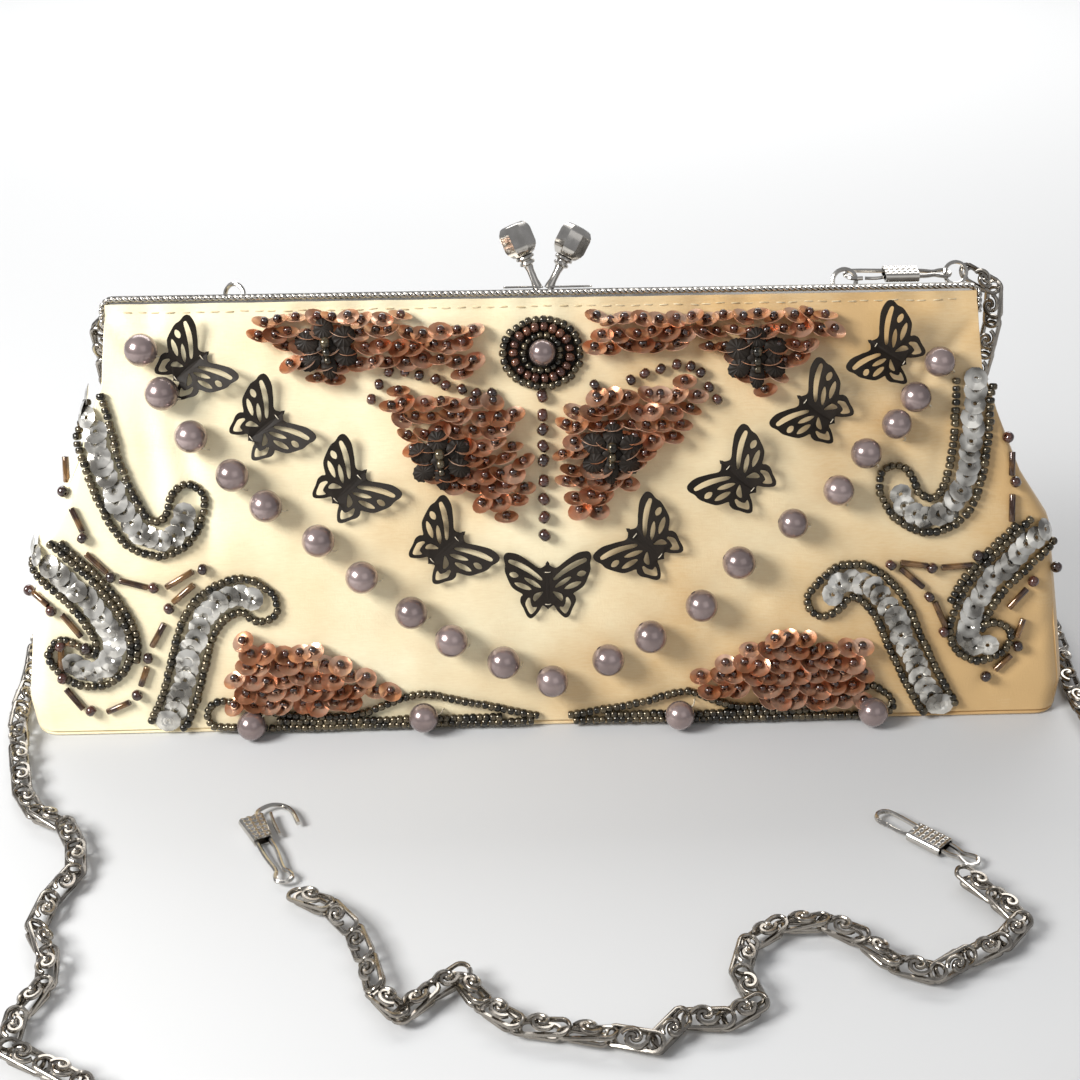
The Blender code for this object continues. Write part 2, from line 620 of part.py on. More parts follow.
def make_flowers():
    outline = []
    for i in range(30):
        a = 2 * math.pi * i / 30
        r = FLOWER_RADIUS * (0.78 + 0.22 * math.cos(5 * a))
        outline.append((r * math.sin(a), r * math.cos(a)))
    for number, (x, s) in enumerate(FLOWERS, 1):
        place = on_front(x, s, TRIM_LIFT + FLOWER_THICK / 2)
        add(f"flower_{number}", plate_curve([outline], FLOWER_THICK), JET, None, place)


def make_rosette():
    place = on_front(*ROSETTE_CENTRE, TRIM_LIFT + ROSETTE_WIRE)
    loop = [(ROSETTE_HALF[0] * math.cos(a), ROSETTE_HALF[1] * math.sin(a), 0)
            for a in [2 * math.pi * i / 24 for i in range(24)]]
    add("rosette_ring", wire_curve(loop, ROSETTE_WIRE, cyclic=True), JET, None, place)
    work = bmesh.new()
    bmesh.ops.create_uvsphere(work, u_segments=16, v_segments=10, radius=PEARL_RADIUS * MM)
    mesh = bpy.data.meshes.new("rosette_pearl")
    work.to_mesh(mesh)
    work.free()
    smooth(mesh)
    lift = on_front(*ROSETTE_CENTRE, TRIM_LIFT + PEARL_RADIUS)
    add("rosette_pearl", mesh, PEARL, None, lift)


start_clean()
PARTS = new_collection("evening_bag")
CUTTERS = new_collection("cutters")
SATIN = material("champagne_satin", (0.78, 0.62, 0.38), 0.45, 0.0)
LINING = material("lining_satin", (0.70, 0.60, 0.42), 0.5, 0.0)
BOARD = material("base_board", (0.45, 0.38, 0.28), 0.8, 0.0)
NICKEL = material("nickel", (0.72, 0.70, 0.66), 0.22, 1.0)
JET = material("black_trim", (0.03, 0.025, 0.02), 0.35, 0.6)
PEARL = material("pearl", (0.55, 0.42, 0.38), 0.25, 0.0)
make_body()
MOVING_AXIS = make_frame()
make_fittings(MOVING_AXIS)
make_chains()
make_butterflies()
make_flowers()
make_rosette()
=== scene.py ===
# %% [markdown]
# # A beaded evening bag in Blender
# The bag is satin over a stiff wedge, hung from a nickel purse frame whose two knobs snap past
# each other. Its front carries stamped butterflies, cup sequins, seed beads, bugles and pearls,
# and two chains of scrolled wire links come with it. The metal frame is already modelled as
# solids. This lesson dresses it: fabric, beadwork, chains, finishes and light.

# %% Load the frame that everything is built around
import math

import bmesh
import bpy
import numpy as np
from mathutils import Matrix, Vector, noise


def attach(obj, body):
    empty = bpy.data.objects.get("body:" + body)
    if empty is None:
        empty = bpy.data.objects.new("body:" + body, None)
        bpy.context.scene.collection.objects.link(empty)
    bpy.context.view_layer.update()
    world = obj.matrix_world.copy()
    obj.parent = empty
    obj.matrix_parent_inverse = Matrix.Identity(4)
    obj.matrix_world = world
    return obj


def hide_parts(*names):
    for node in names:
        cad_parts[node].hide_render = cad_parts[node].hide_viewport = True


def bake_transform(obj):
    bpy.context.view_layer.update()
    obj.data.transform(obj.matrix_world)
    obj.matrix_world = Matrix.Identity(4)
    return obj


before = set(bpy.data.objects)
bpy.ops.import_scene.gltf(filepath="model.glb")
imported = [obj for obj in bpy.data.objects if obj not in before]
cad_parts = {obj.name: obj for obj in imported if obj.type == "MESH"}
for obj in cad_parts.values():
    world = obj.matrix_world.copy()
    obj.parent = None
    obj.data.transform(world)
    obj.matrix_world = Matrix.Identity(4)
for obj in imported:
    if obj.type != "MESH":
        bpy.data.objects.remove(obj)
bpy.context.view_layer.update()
MM = 0.001

# %% [markdown]
# ## The camera
# The bag is seen from above its own height, looking down on a front that leans back, so the
# front is met almost square on. A camera is placed by three axes: right, up and backwards.

# %% Camera
CAMERA_AT = Vector((-10.5, -385.4, 246)) * MM
TURN, DIP, ROLL = math.radians(1.34), math.radians(28), math.radians(-0.51)
ahead = Vector((math.sin(TURN) * math.cos(DIP), math.cos(TURN) * math.cos(DIP), -math.sin(DIP)))
level = Vector((math.cos(TURN), -math.sin(TURN), 0))
above = level.cross(ahead)
right_axis = math.cos(ROLL) * level + math.sin(ROLL) * above
up_axis = -math.sin(ROLL) * level + math.cos(ROLL) * above
camera_data = bpy.data.cameras.new("camera")
camera_data.lens = 55.9
camera_data.sensor_width = 36
camera_data.clip_start = 0.01
camera = bpy.data.objects.new("camera", camera_data)
axes = Matrix((right_axis, up_axis, -ahead)).transposed().to_4x4()
camera.matrix_world = Matrix.Translation(CAMERA_AT) @ axes
bpy.context.scene.collection.objects.link(camera)
bpy.context.scene.camera = camera
print("camera looks along", [round(c, 3) for c in ahead])

# %% [markdown]
# ## Small shapes as arrays
# Beadwork is a few small shapes repeated hundreds of times. Each shape is kept as an array of
# corners and a list of faces, so copies can be placed with one matrix product and joined into one
# mesh for a whole row. A turned bead is a profile swept round an axis; wire is a ring of corners
# carried along a line.

# %% Shapes: join, place, turn and sweep
def joined(shapes):
    corners, faces, count = [], [], 0
    for verts, polys in shapes:
        corners.append(verts)
        faces += [[i + count for i in poly] for poly in polys]
        count += len(verts)
    return np.concatenate(corners), faces


def placed(shape, matrix):
    grid = np.array(matrix, float)
    return shape[0] @ grid[:3, :3].T + grid[:3, 3], shape[1]


def scaled(shape, factor):
    return shape[0] * factor, shape[1]


def turned(profile, sides, hollow=True):
    """Sweep (radius, height) pairs in millimetres round Z; a hollow profile is a closed loop."""
    angles = np.linspace(0, 2 * math.pi, sides, endpoint=False)
    corners, rings = [], []
    for radius, height in profile:
        if radius < 1e-6:
            rings.append([len(corners)] * sides)
            corners.append((0, 0, height))
            continue
        rings.append(list(range(len(corners), len(corners) + sides)))
        corners += [(radius * math.cos(a), radius * math.sin(a), height) for a in angles]
    pairs = list(zip(rings, rings[1:] + rings[:1])) if hollow else list(zip(rings, rings[1:]))
    faces = []
    for low, high in pairs:
        for i in range(sides):
            j = (i + 1) % sides
            face = [low[i], low[j], high[j], high[i]]
            faces.append(list(dict.fromkeys(face)))
    return np.array(corners, float) * MM, faces


def swept(points, radius, sides=6, closed=False):
    """A round wire of some radius through points in millimetres."""
    line = [Vector(p) for p in points]
    count = len(line)
    corners, normal = [], None
    for i, here in enumerate(line):
        before = line[i - 1] if i or closed else here
        after = line[(i + 1) % count] if i < count - 1 or closed else here
        along = (after - before).normalized()
        if normal is None:
            normal = along.orthogonal().normalized()
        normal = (normal - along * normal.dot(along)).normalized()
        across = along.cross(normal)
        for k in range(sides):
            a = 2 * math.pi * k / sides
            corners.append(here + (normal * math.cos(a) + across * math.sin(a)) * radius)
    faces = []
    for i in range(count if closed else count - 1):
        for k in range(sides):
            j, m = (i + 1) % count, (k + 1) % sides
            faces.append([i * sides + k, i * sides + m, j * sides + m, j * sides + k])
    if not closed:
        faces.append(list(range(sides))[::-1])
        faces.append(list(range((count - 1) * sides, count * sides)))
    return np.array([tuple(c) for c in corners]) * MM, faces


# %% [markdown]
# A drawn line of a few points becomes a smooth one with a Catmull-Rom curve, which passes through
# every point. The same function spaces points evenly, which is how beads sit on a thread.

# %% Smooth lines and even spacing
def smooth_line(points, steps=12, closed=False):
    knots = [np.array(p, float) for p in points]
    if closed:
        ends = [knots[-1]] + knots + knots[:2]
    else:
        ends = [2 * knots[0] - knots[1]] + knots + [2 * knots[-1] - knots[-2]]
    fine = []
    for a, b, c, d in zip(ends, ends[1:], ends[2:], ends[3:]):
        for k in range(steps):
            u = k / steps
            fine.append(0.5 * (2 * b + (c - a) * u + (2 * a - 5 * b + 4 * c - d) * u ** 2
                               + (3 * b - a - 3 * c + d) * u ** 3))
    if not closed:
        fine.append(knots[-1])
    return np.array(fine)


def even_line(line, spacing, closed=False):
    line = np.array(line, float)
    if closed:
        line = np.vstack([line, line[:1]])
    steps = np.linalg.norm(np.diff(line, axis=0), axis=1)
    along = np.concatenate([[0], np.cumsum(steps)])
    count = max(2, round(along[-1] / spacing))
    at = np.linspace(0, along[-1], count + 1)
    even = np.stack([np.interp(at, along, line[:, k]) for k in range(line.shape[1])], 1)
    return even[:-1] if closed else even


# %% [markdown]
# ## Making a piece
# Every piece is a mesh with one material that rides on a body of the frame, and it may stand in
# for plain solids. Shading is smooth up to a chosen angle, so cut facets stay crisp.

# %% Pieces
MATERIALS = {}


def piece(name, shape, look, body="bag_body", instead_of=(), crease=40):
    mesh = bpy.data.meshes.new(name)
    mesh.from_pydata(shape[0].tolist(), [], shape[1])
    mesh.validate()
    mesh.shade_smooth()
    mesh.set_sharp_from_angle(angle=math.radians(crease))
    mesh.materials.append(MATERIALS[look])
    obj = bpy.data.objects.new(name, mesh)
    bpy.context.scene.collection.objects.link(obj)
    if body:
        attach(obj, body)
    if instead_of:
        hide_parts(*instead_of)
    return obj


# %% [markdown]
# ## Finishes
# Three effects are used by more than one material, so each is a node group: `weave` gives the
# thread relief and slubs of satin, `tarnish` gives metal its uneven polish and fine scratches, and
# `iris` shifts a colour from bead to bead, as coated glass does.

# %% Node-group helpers
def group(name, inputs, outputs):
    tree = bpy.data.node_groups.new(name, "ShaderNodeTree")
    for label, value in inputs:
        kind = "NodeSocketColor" if isinstance(value, tuple) else "NodeSocketFloat"
        socket = tree.interface.new_socket(name=label, in_out="INPUT", socket_type=kind)
        socket.default_value = value
    for label, kind in outputs:
        tree.interface.new_socket(name=label, in_out="OUTPUT", socket_type=kind)
    source = tree.nodes.new("NodeGroupInput")
    sink = tree.nodes.new("NodeGroupOutput")
    return tree, source, sink


def node(tree, kind, links=None, **values):
    made = tree.nodes.new(kind)
    for key, value in values.items():
        setattr(made, key, value)
    for socket, value in (links or {}).items():
        if isinstance(value, bpy.types.NodeSocket):
            tree.links.new(value, made.inputs[socket])
        else:
            made.inputs[socket].default_value = value
    return made


def object_space(tree, stretch):
    place = node(tree, "ShaderNodeTexCoord")
    mapping = node(tree, "ShaderNodeMapping", {"Vector": place.outputs["Object"], "Scale": stretch})
    return mapping.outputs["Vector"]


# %% The weave, tarnish and iris groups
def make_weave():
    tree, source, sink = group("weave", [("Thread Size", 900.0), ("Slub", 0.5)],
                               [("Height", "NodeSocketFloat"), ("Slubs", "NodeSocketFloat")])
    fine = node(tree, "ShaderNodeTexNoise", {"Vector": object_space(tree, (1, 1, 1)),
                                             "Scale": source.outputs["Thread Size"], "Detail": 3.0})
    slub = node(tree, "ShaderNodeTexNoise", {"Vector": object_space(tree, (150, 150, 900)),
                                             "Scale": 3.0, "Detail": 4.0})
    upright = node(tree, "ShaderNodeTexNoise", {"Vector": object_space(tree, (900, 150, 150)),
                                                "Scale": 3.0, "Detail": 4.0})
    cross = node(tree, "ShaderNodeMath", {0: slub.outputs["Fac"], 1: upright.outputs["Fac"]},
                 operation="ADD")
    strength = node(tree, "ShaderNodeMath", {0: cross.outputs[0], 1: source.outputs["Slub"]},
                    operation="MULTIPLY")
    total = node(tree, "ShaderNodeMath", {0: fine.outputs["Fac"], 1: strength.outputs[0]},
                 operation="ADD")
    tree.links.new(total.outputs[0], sink.inputs["Height"])
    tree.links.new(slub.outputs["Fac"], sink.inputs["Slubs"])
    return tree


def make_tarnish():
    tree, source, sink = group("tarnish", [("Low", 0.15), ("High", 0.35), ("Patch Size", 300.0)],
                               [("Roughness", "NodeSocketFloat"), ("Patches", "NodeSocketFloat"),
                                ("Height", "NodeSocketFloat")])
    patch = node(tree, "ShaderNodeTexNoise", {"Vector": object_space(tree, (1, 1, 1)),
                                              "Scale": source.outputs["Patch Size"], "Detail": 5.0})
    spread = node(tree, "ShaderNodeMapRange", {"Value": patch.outputs["Fac"], "From Min": 0.35,
                                               "From Max": 0.65, "To Min": source.outputs["Low"],
                                               "To Max": source.outputs["High"]})
    scratch = node(tree, "ShaderNodeTexNoise", {"Vector": object_space(tree, (90, 900, 900)),
                                                "Scale": 4.0, "Detail": 6.0})
    tree.links.new(spread.outputs[0], sink.inputs["Roughness"])
    tree.links.new(patch.outputs["Fac"], sink.inputs["Patches"])
    tree.links.new(scratch.outputs["Fac"], sink.inputs["Height"])
    return tree


def make_iris():
    colours = [("Main", (0.1, 0.1, 0.1, 1)), ("Second", (0.2, 0.2, 0.2, 1)), ("Bead Size", 350.0)]
    tree, source, sink = group("iris", colours, [("Color", "NodeSocketColor")])
    cells = node(tree, "ShaderNodeTexNoise", {"Vector": object_space(tree, (1, 1, 1)),
                                              "Scale": source.outputs["Bead Size"], "Detail": 1.0})
    share = node(tree, "ShaderNodeMapRange", {"Value": cells.outputs["Fac"], "From Min": 0.4,
                                              "From Max": 0.62})
    mix = node(tree, "ShaderNodeMix", {"Factor": share.outputs[0]}, data_type="RGBA")
    tree.links.new(source.outputs["Main"], mix.inputs[6])
    tree.links.new(source.outputs["Second"], mix.inputs[7])
    tree.links.new(mix.outputs[2], sink.inputs["Color"])
    return tree


GROUPS = {"weave": make_weave(), "tarnish": make_tarnish(), "iris": make_iris()}
print("node groups:", sorted(GROUPS))


# %% [markdown]
# A material then only says what is its own: the colours it moves between, how rough it is, and
# how deep its relief is.

# %% Materials
def new_material(name, **sockets):
    mat = bpy.data.materials.new(name)
    mat.use_nodes = True
    shader = mat.node_tree.nodes["Principled BSDF"]
    for label, value in sockets.items():
        shader.inputs[label.replace("_", " ")].default_value = value
    MATERIALS[name] = mat
    return mat.node_tree, shader


def use_group(tree, name, **values):
    made = node(tree, "ShaderNodeGroup")
    made.node_tree = GROUPS[name]
    for label, value in values.items():
        made.inputs[label.replace("_", " ")].default_value = value
    return made


def relief(tree, shader, height, strength, depth):
    bump = node(tree, "ShaderNodeBump", {"Height": height, "Strength": strength, "Distance": depth})
    tree.links.new(bump.outputs["Normal"], shader.inputs["Normal"])


def make_satin(name, light, shade, roughness):
    """Pale satin tanned by age in clouds, and darkened by painted shade towards the right-hand end.
    """
    tree, shader = new_material(name, Roughness=roughness, Sheen_Weight=0.2, Sheen_Roughness=0.4,
                                Specular_IOR_Level=0.55)
    weave = use_group(tree, "weave", Thread_Size=1500.0, Slub=0.6)
    cloud = node(tree, "ShaderNodeTexNoise", {"Vector": object_space(tree, (1, 1, 1)),
                                              "Scale": 26.0, "Detail": 4.0})
    place = node(tree, "ShaderNodeSeparateXYZ", {"Vector": object_space(tree, (1, 1, 1))})
    # Painted shade: the colour darkens with x towards the right-hand end, where the light falls
    # off.
    end = node(tree, "ShaderNodeMapRange", {"Value": place.outputs["X"], "From Min": -0.11,
                                            "From Max": 0.13, "To Min": -0.22, "To Max": 0.72})
    patches = node(tree, "ShaderNodeMapRange", {"Value": cloud.outputs["Fac"], "From Min": 0.35,
                                                "From Max": 0.70, "To Max": 0.62})
    threads = node(tree, "ShaderNodeMapRange", {"Value": weave.outputs["Slubs"], "From Min": 0.3,
                                                "From Max": 0.7, "To Min": -0.06, "To Max": 0.06})
    # Random tan stains plus the painted shade towards the right-hand end.
    stain_and_shade = node(tree, "ShaderNodeMath", {0: end.outputs[0], 1: patches.outputs[0]}, operation="ADD")
    total = node(tree, "ShaderNodeMath", {0: stain_and_shade.outputs[0], 1: threads.outputs[0]},
                 operation="ADD")
    share = node(tree, "ShaderNodeClamp", {"Value": total.outputs[0]})
    mix = node(tree, "ShaderNodeMix", {"Factor": share.outputs[0]}, data_type="RGBA")
    mix.inputs[6].default_value = (*light, 1)
    mix.inputs[7].default_value = (*shade, 1)
    tree.links.new(mix.outputs[2], shader.inputs["Base Color"])
    relief(tree, shader, weave.outputs["Height"], 0.30, 0.00015)


def make_metal(name, colour, dark, low, high, **sockets):
    tree, shader = new_material(name, **sockets)
    tarnish = use_group(tree, "tarnish", Low=low, High=high)
    mix = node(tree, "ShaderNodeMix", {"Factor": tarnish.outputs["Patches"]}, data_type="RGBA")
    mix.inputs[6].default_value = (*dark, 1)
    mix.inputs[7].default_value = (*colour, 1)
    tree.links.new(mix.outputs[2], shader.inputs["Base Color"])
    tree.links.new(tarnish.outputs["Roughness"], shader.inputs["Roughness"])
    relief(tree, shader, tarnish.outputs["Height"], 0.3, 0.00002)


def make_two_tone(name, main, second, size=350.0, **sockets):
    """A finish that drifts between two colours: glass, pearl, sequin foil, thread or board."""
    tree, shader = new_material(name, **sockets)
    iris = use_group(tree, "iris", Bead_Size=size)
    iris.inputs["Main"].default_value = (*main, 1)
    iris.inputs["Second"].default_value = (*second, 1)
    tree.links.new(iris.outputs["Color"], shader.inputs["Base Color"])


# Each satin's second colour serves both the random tan stains and the painted shade towards the
# right.
make_satin("satin", (0.93, 0.84, 0.58), (0.66, 0.43, 0.19), 0.36)
make_satin("lining", (0.72, 0.60, 0.38), (0.58, 0.45, 0.26), 0.5)
make_metal("nickel", (0.74, 0.71, 0.66), (0.40, 0.37, 0.33), 0.08, 0.22, Metallic=1.0)
make_metal("chain", (0.55, 0.51, 0.45), (0.14, 0.12, 0.10), 0.14, 0.30, Metallic=1.0)
make_metal("jet", (0.028, 0.020, 0.014), (0.010, 0.008, 0.006), 0.50, 0.65, Metallic=0.1,
           Specular_IOR_Level=0.22)
make_two_tone("gunmetal", (0.020, 0.017, 0.011), (0.13, 0.10, 0.055), Metallic=0.65,
              Roughness=0.17, Coat_Weight=0.6, Coat_Roughness=0.05)
make_two_tone("copper", (0.60, 0.27, 0.14), (0.86, 0.55, 0.38), size=160.0, Metallic=0.7,
              Roughness=0.28, Coat_Weight=0.3)
make_two_tone("garnet", (0.022, 0.008, 0.005), (0.075, 0.022, 0.012), size=200.0, Roughness=0.10,
              Coat_Weight=0.9, Coat_Roughness=0.03, Specular_IOR_Level=0.65)
make_two_tone("bronze", (0.06, 0.020, 0.012), (0.19, 0.075, 0.04), size=220.0, Metallic=0.5,
              Roughness=0.16, Coat_Weight=1.0, Coat_Roughness=0.04)
make_two_tone("board", (0.42, 0.34, 0.24), (0.50, 0.42, 0.31), size=40.0, Roughness=0.85)
make_two_tone("bugle", (0.045, 0.018, 0.008), (0.22, 0.11, 0.035), size=260.0, Metallic=0.5,
              Roughness=0.13, Coat_Weight=1.0, Coat_Roughness=0.04)
make_two_tone("pearl", (0.25, 0.19, 0.18), (0.37, 0.285, 0.27), size=110.0, Roughness=0.22,
              Coat_Weight=0.5, Coat_Roughness=0.08, Metallic=0.60)
make_two_tone("clear", (0.82, 0.79, 0.72), (0.20, 0.185, 0.16), size=210.0, Roughness=0.13,
              Metallic=0.7, Coat_Weight=0.8, Coat_Roughness=0.04)
make_two_tone("thread", (0.78, 0.70, 0.54), (0.62, 0.54, 0.40), size=500.0, Roughness=0.7)
make_two_tone("stitch", (0.62, 0.48, 0.27), (0.78, 0.66, 0.44), size=500.0, Roughness=0.6)
print("materials:", sorted(MATERIALS))

# %% [markdown]
# ## The two chains
# Each link is a stadium-shaped loop of wire that carries an S-shaped scroll on its face. A chain
# lies as its links let it, so the route is one smooth line and every link takes its own small
# roll. The shoulder chain runs from one clip down the side of the bag, along the table and up to
# the other clip; the short chain lies loose in front with a clip at each end.

# %% Routes, in metres
SHOULDER_ROUTE = [
    (0.1096, 0.0224, 0.1045), (0.114, 0.0241, 0.104), (0.1163, 0.0236, 0.1),
    (0.117, 0.0227, 0.091), (0.1166, 0.025, 0.079), (0.1164, 0.0286, 0.067),
    (0.118, 0.0305, 0.05), (0.122, 0.0315, 0.032), (0.128, 0.032, 0.016), (0.134, 0.033, 0.0065),
    (0.14, 0.03, 0.0033), (0.142, 0.02, 0.0033), (0.141, 0.004, 0.0033), (0.1385, -0.011, 0.0033),
    (0.138, -0.024, 0.0033), (0.139, -0.036, 0.0033), (0.142, -0.054, 0.0033),
    (0.139, -0.078, 0.0033), (0.131, -0.104, 0.0033), (0.124, -0.13, 0.0033),
    (0.112, -0.15, 0.0033), (0.092, -0.158, 0.0033), (0.06, -0.159, 0.0033),
    (0.02, -0.159, 0.0033), (-0.02, -0.159, 0.0033), (-0.048, -0.16, 0.0033),
    (-0.058, -0.168, 0.0033), (-0.048, -0.176, 0.0033), (-0.01, -0.177, 0.0033),
    (0.024, -0.178, 0.0033), (0.035, -0.186, 0.0033), (0.024, -0.194, 0.0033),
    (-0.02, -0.195, 0.0033), (-0.06, -0.193, 0.0033), (-0.082, -0.182, 0.0033),
    (-0.088, -0.164, 0.0033), (-0.093, -0.148, 0.0033), (-0.103, -0.142, 0.0033),
    (-0.11, -0.139, 0.0033), (-0.112, -0.131, 0.0033), (-0.108, -0.122, 0.0033),
    (-0.108, -0.112, 0.0033), (-0.113, -0.104, 0.0033), (-0.113, -0.094, 0.0033),
    (-0.109, -0.084, 0.0033), (-0.111, -0.074, 0.0033), (-0.116, -0.065, 0.0033),
    (-0.123, -0.061, 0.0033), (-0.128, -0.054, 0.0033), (-0.1315, -0.042, 0.0033),
    (-0.135, -0.03, 0.0033), (-0.1375, -0.016, 0.0033), (-0.1385, 0.0, 0.0033),
    (-0.141, 0.017, 0.0033), (-0.14, 0.029, 0.0033), (-0.133, 0.033, 0.006),
    (-0.127, 0.0325, 0.015), (-0.121, 0.0315, 0.031), (-0.1165, 0.0305, 0.05),
    (-0.1144, 0.029, 0.066), (-0.114, 0.026, 0.079), (-0.1138, 0.0235, 0.089),
    (-0.1136, 0.0223, 0.0953), (-0.1116, 0.0219, 0.0973), (-0.1082, 0.0217, 0.0976),
]
SHORT_ROUTE = [
    (-0.059, -0.092), (-0.053, -0.0955), (-0.047, -0.102), (-0.043, -0.11), (-0.0405, -0.119),
    (-0.0375, -0.127), (-0.032, -0.131), (-0.028, -0.125), (-0.025, -0.119), (-0.02, -0.121),
    (-0.017, -0.128), (-0.011, -0.134), (-0.003, -0.136), (0.006, -0.137), (0.014, -0.141),
    (0.0205, -0.1395), (0.0235, -0.1335), (0.029, -0.133), (0.0345, -0.1355), (0.039, -0.13),
    (0.0365, -0.122), (0.039, -0.113), (0.046, -0.107), (0.055, -0.1055), (0.062, -0.109),
    (0.067, -0.117), (0.074, -0.1235), (0.082, -0.1215), (0.0875, -0.1155), (0.0945, -0.1135),
    (0.0995, -0.108), (0.098, -0.101), (0.0925, -0.097), (0.0905, -0.0915),
]

# %% One link, and a chain of them
LINK_PITCH, LINK_WIRE = 9.6, 0.54


def oval_loop(half_length, half_width, low, slope):
    points = []
    for a in np.linspace(0, 2 * math.pi, 22, endpoint=False):
        end = (half_length - half_width) * (1 if math.cos(a) > 0 else -1)
        x = end + half_width * math.cos(a)
        points.append((x, half_width * math.sin(a), low + slope * x))
    return swept(points, LINK_WIRE, 6, closed=True)


def make_link():
    arm = []
    for a in np.linspace(0, 1.8 * math.pi, 20):
        r = 0.37 * a
        arm.append((1.32 * r * math.cos(a + 0.5), 1.06 * r * math.sin(a + 0.5), 1.3 - 0.12 * r * r))
    scroll = [(-x, -y, z) for x, y, z in arm[:0:-1]] + arm
    return joined([oval_loop(5.9, 1.95, -0.45, 0.15), oval_loop(4.2, 1.8, -1.55, -0.05),
                   swept(scroll, LINK_WIRE, 6)])


def chain_shape(line):
    """Links along an evenly spaced line, each facing up, or forwards where the chain hangs."""
    link = make_link()
    shapes = []
    for i, (a, b) in enumerate(zip(line, line[1:])):
        along = Vector(b) - Vector(a)
        steep = abs(along.normalized().z)
        face = Vector((0, -steep, 1 - steep)).normalized()
        along.normalize()
        across = face.cross(along).normalized()
        face = along.cross(across)
        lean = 14 * math.sin(2.4 * i) + 42 * max(0, math.sin(0.62 * i + 0.4)) ** 3
        roll = Matrix.Rotation(math.radians(lean), 4, "X")
        turn = Matrix((along, across, face)).transposed().to_4x4()
        middle = (Vector(a) + Vector(b)) / 2
        shapes.append(placed(link, Matrix.Translation(middle) @ turn @ roll))
    return joined(shapes)


def make_chain(name, route):
    smooth = smooth_line(route)
    line = even_line(smooth, LINK_PITCH * MM)
    obj = piece(name, chain_shape(line), "chain", body=None, instead_of=[name], crease=60)
    path = even_line(smooth, 0.004)
    length = float(np.linalg.norm(np.diff(path, axis=0), axis=1).sum())
    print(name, "is", round(length, 3), "m long with", len(line) - 1, "links")
    return obj, path.tolist(), length


CHAIN_WIDTH, CHAIN_HEIGHT = 0.006, 0.0033

shoulder, shoulder_path, shoulder_length = make_chain("shoulder_chain", SHOULDER_ROUTE)
shoulder.name = "shoulder_chain_links"
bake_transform(shoulder)
short_line = [(x, y, CHAIN_HEIGHT) for x, y in SHORT_ROUTE]
short_chain, short_path, short_length = make_chain("wrist_chain", short_line)
short_chain.name = "wrist_chain_links"
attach(short_chain, "bag_body")

# %% [markdown]
# ## The shape of the bag
# The bag is cut from four panels: a front, a back and two gussets, over a stiff base. Seen from
# the side it is a wedge. A section at any height is a rounded rectangle between a front line and
# a back line, and each panel is a strip of that section. Positions on the front are given as x
# across and s down from the frame, in millimetres, the way a pattern is marked out.

# %% Profiles and sections
FACE_LENGTH = 109.0
HALF_WIDTHS = np.array([(0, 109.3), (18.5, 111.5), (30, 115.5), (45, 121.5), (57, 129),
                        (79, 131.5), (100, 134), (109, 132.5)])
CORNER_RADII = np.array([(0, 1), (25, 2.5), (60, 6), (109, 6.5)])


def front_line(t):
    return np.array([-25 + 36.2 * t - 3.5 * math.sin(math.pi * t), 103.3 * t])


def back_line(t):
    return np.array([25 - 5.9 * t + 2 * math.sin(math.pi * t), 100.4 * t])


def half_width(t):
    return float(np.interp((1 - t) * FACE_LENGTH, *HALF_WIDTHS.T))


def half_depth(t):
    return float(np.linalg.norm(back_line(t) - front_line(t))) / 2


def corner_radius(t):
    return min(float(np.interp((1 - t) * FACE_LENGTH, *CORNER_RADII.T)), 0.9 * half_depth(t))


def tuck(t, depth):
    """How far a gusset folds in between the front and the back, most towards the hinge."""
    rise = min(max((t - 0.25) / 0.55, 0), 1)
    return 4.5 * rise * rise * max(1 - depth * depth, 0)


def section_point(t, side, depth, x, inset):
    front, back = front_line(t), back_line(t)
    half = half_depth(t)
    y, z = (front + back) / 2 + (back - front) / (2 * half) * (half - inset) * depth
    return (side * (x - inset - (tuck(t, depth) if x > half_width(t) - 2 else 0)), y, z)


def corner(t, side, towards, start, end, inset=0.0, steps=8):
    """Part of a rounded corner; 0 degrees faces sideways and 90 faces front or back."""
    width, radius, half = half_width(t), corner_radius(t), half_depth(t)
    points = []
    for a in np.radians(np.linspace(start, end, steps + 1)):
        depth = towards * (half - radius + radius * math.sin(a)) / half
        points.append(section_point(t, side, depth, width - radius + radius * math.cos(a), inset))
    return points


def between(a, b, count):
    return [tuple(np.array(a) + (np.array(b) - np.array(a)) * k / count) for k in range(1, count)]


def side_wall(t, side, inset=0.0, steps=8):
    """The flat part of a gusset from its front corner to its back corner."""
    half, radius = half_depth(t), corner_radius(t)
    reach = (half - radius) / half
    depths = np.linspace(-reach, reach, steps + 1)[1:-1]
    return [section_point(t, side, depth, half_width(t), inset) for depth in depths]


# %% [markdown]
# Fabric never lies dead flat. The front pulls into small gathers where it is sewn to the frame,
# and a soft fold runs down from each top corner. The beadwork uses the same function, so every
# bead sits on the cloth where the cloth really is.

# %% How the cloth of the front rises and falls
FOLDS = [
    ((-108, 4), (-97, 15), 1.3, 1.2), ((-94, 18), (-85, 60), 2.6, 1.3),
    ((-100, 24), (-97, 50), 3.0, 0.9), ((107, 8), (91, 26), 1.6, 1.3),
    ((92, 28), (84, 52), 3.0, 1.0), ((102, 20), (99, 48), 2.6, 0.9),
    ((-60, 3), (-66, 14), 2.0, 0.6), ((38, 2), (44, 12), 2.0, 0.6),
    ((-16, 60), (-44, 84), 4.0, 0.5), ((60, 66), (40, 92), 4.0, 0.6),
    ((-110, 96), (-128, 82), 3.0, 0.8), ((112, 100), (128, 84), 3.0, 0.8),
]
DEEPEST_DIP = -0.85


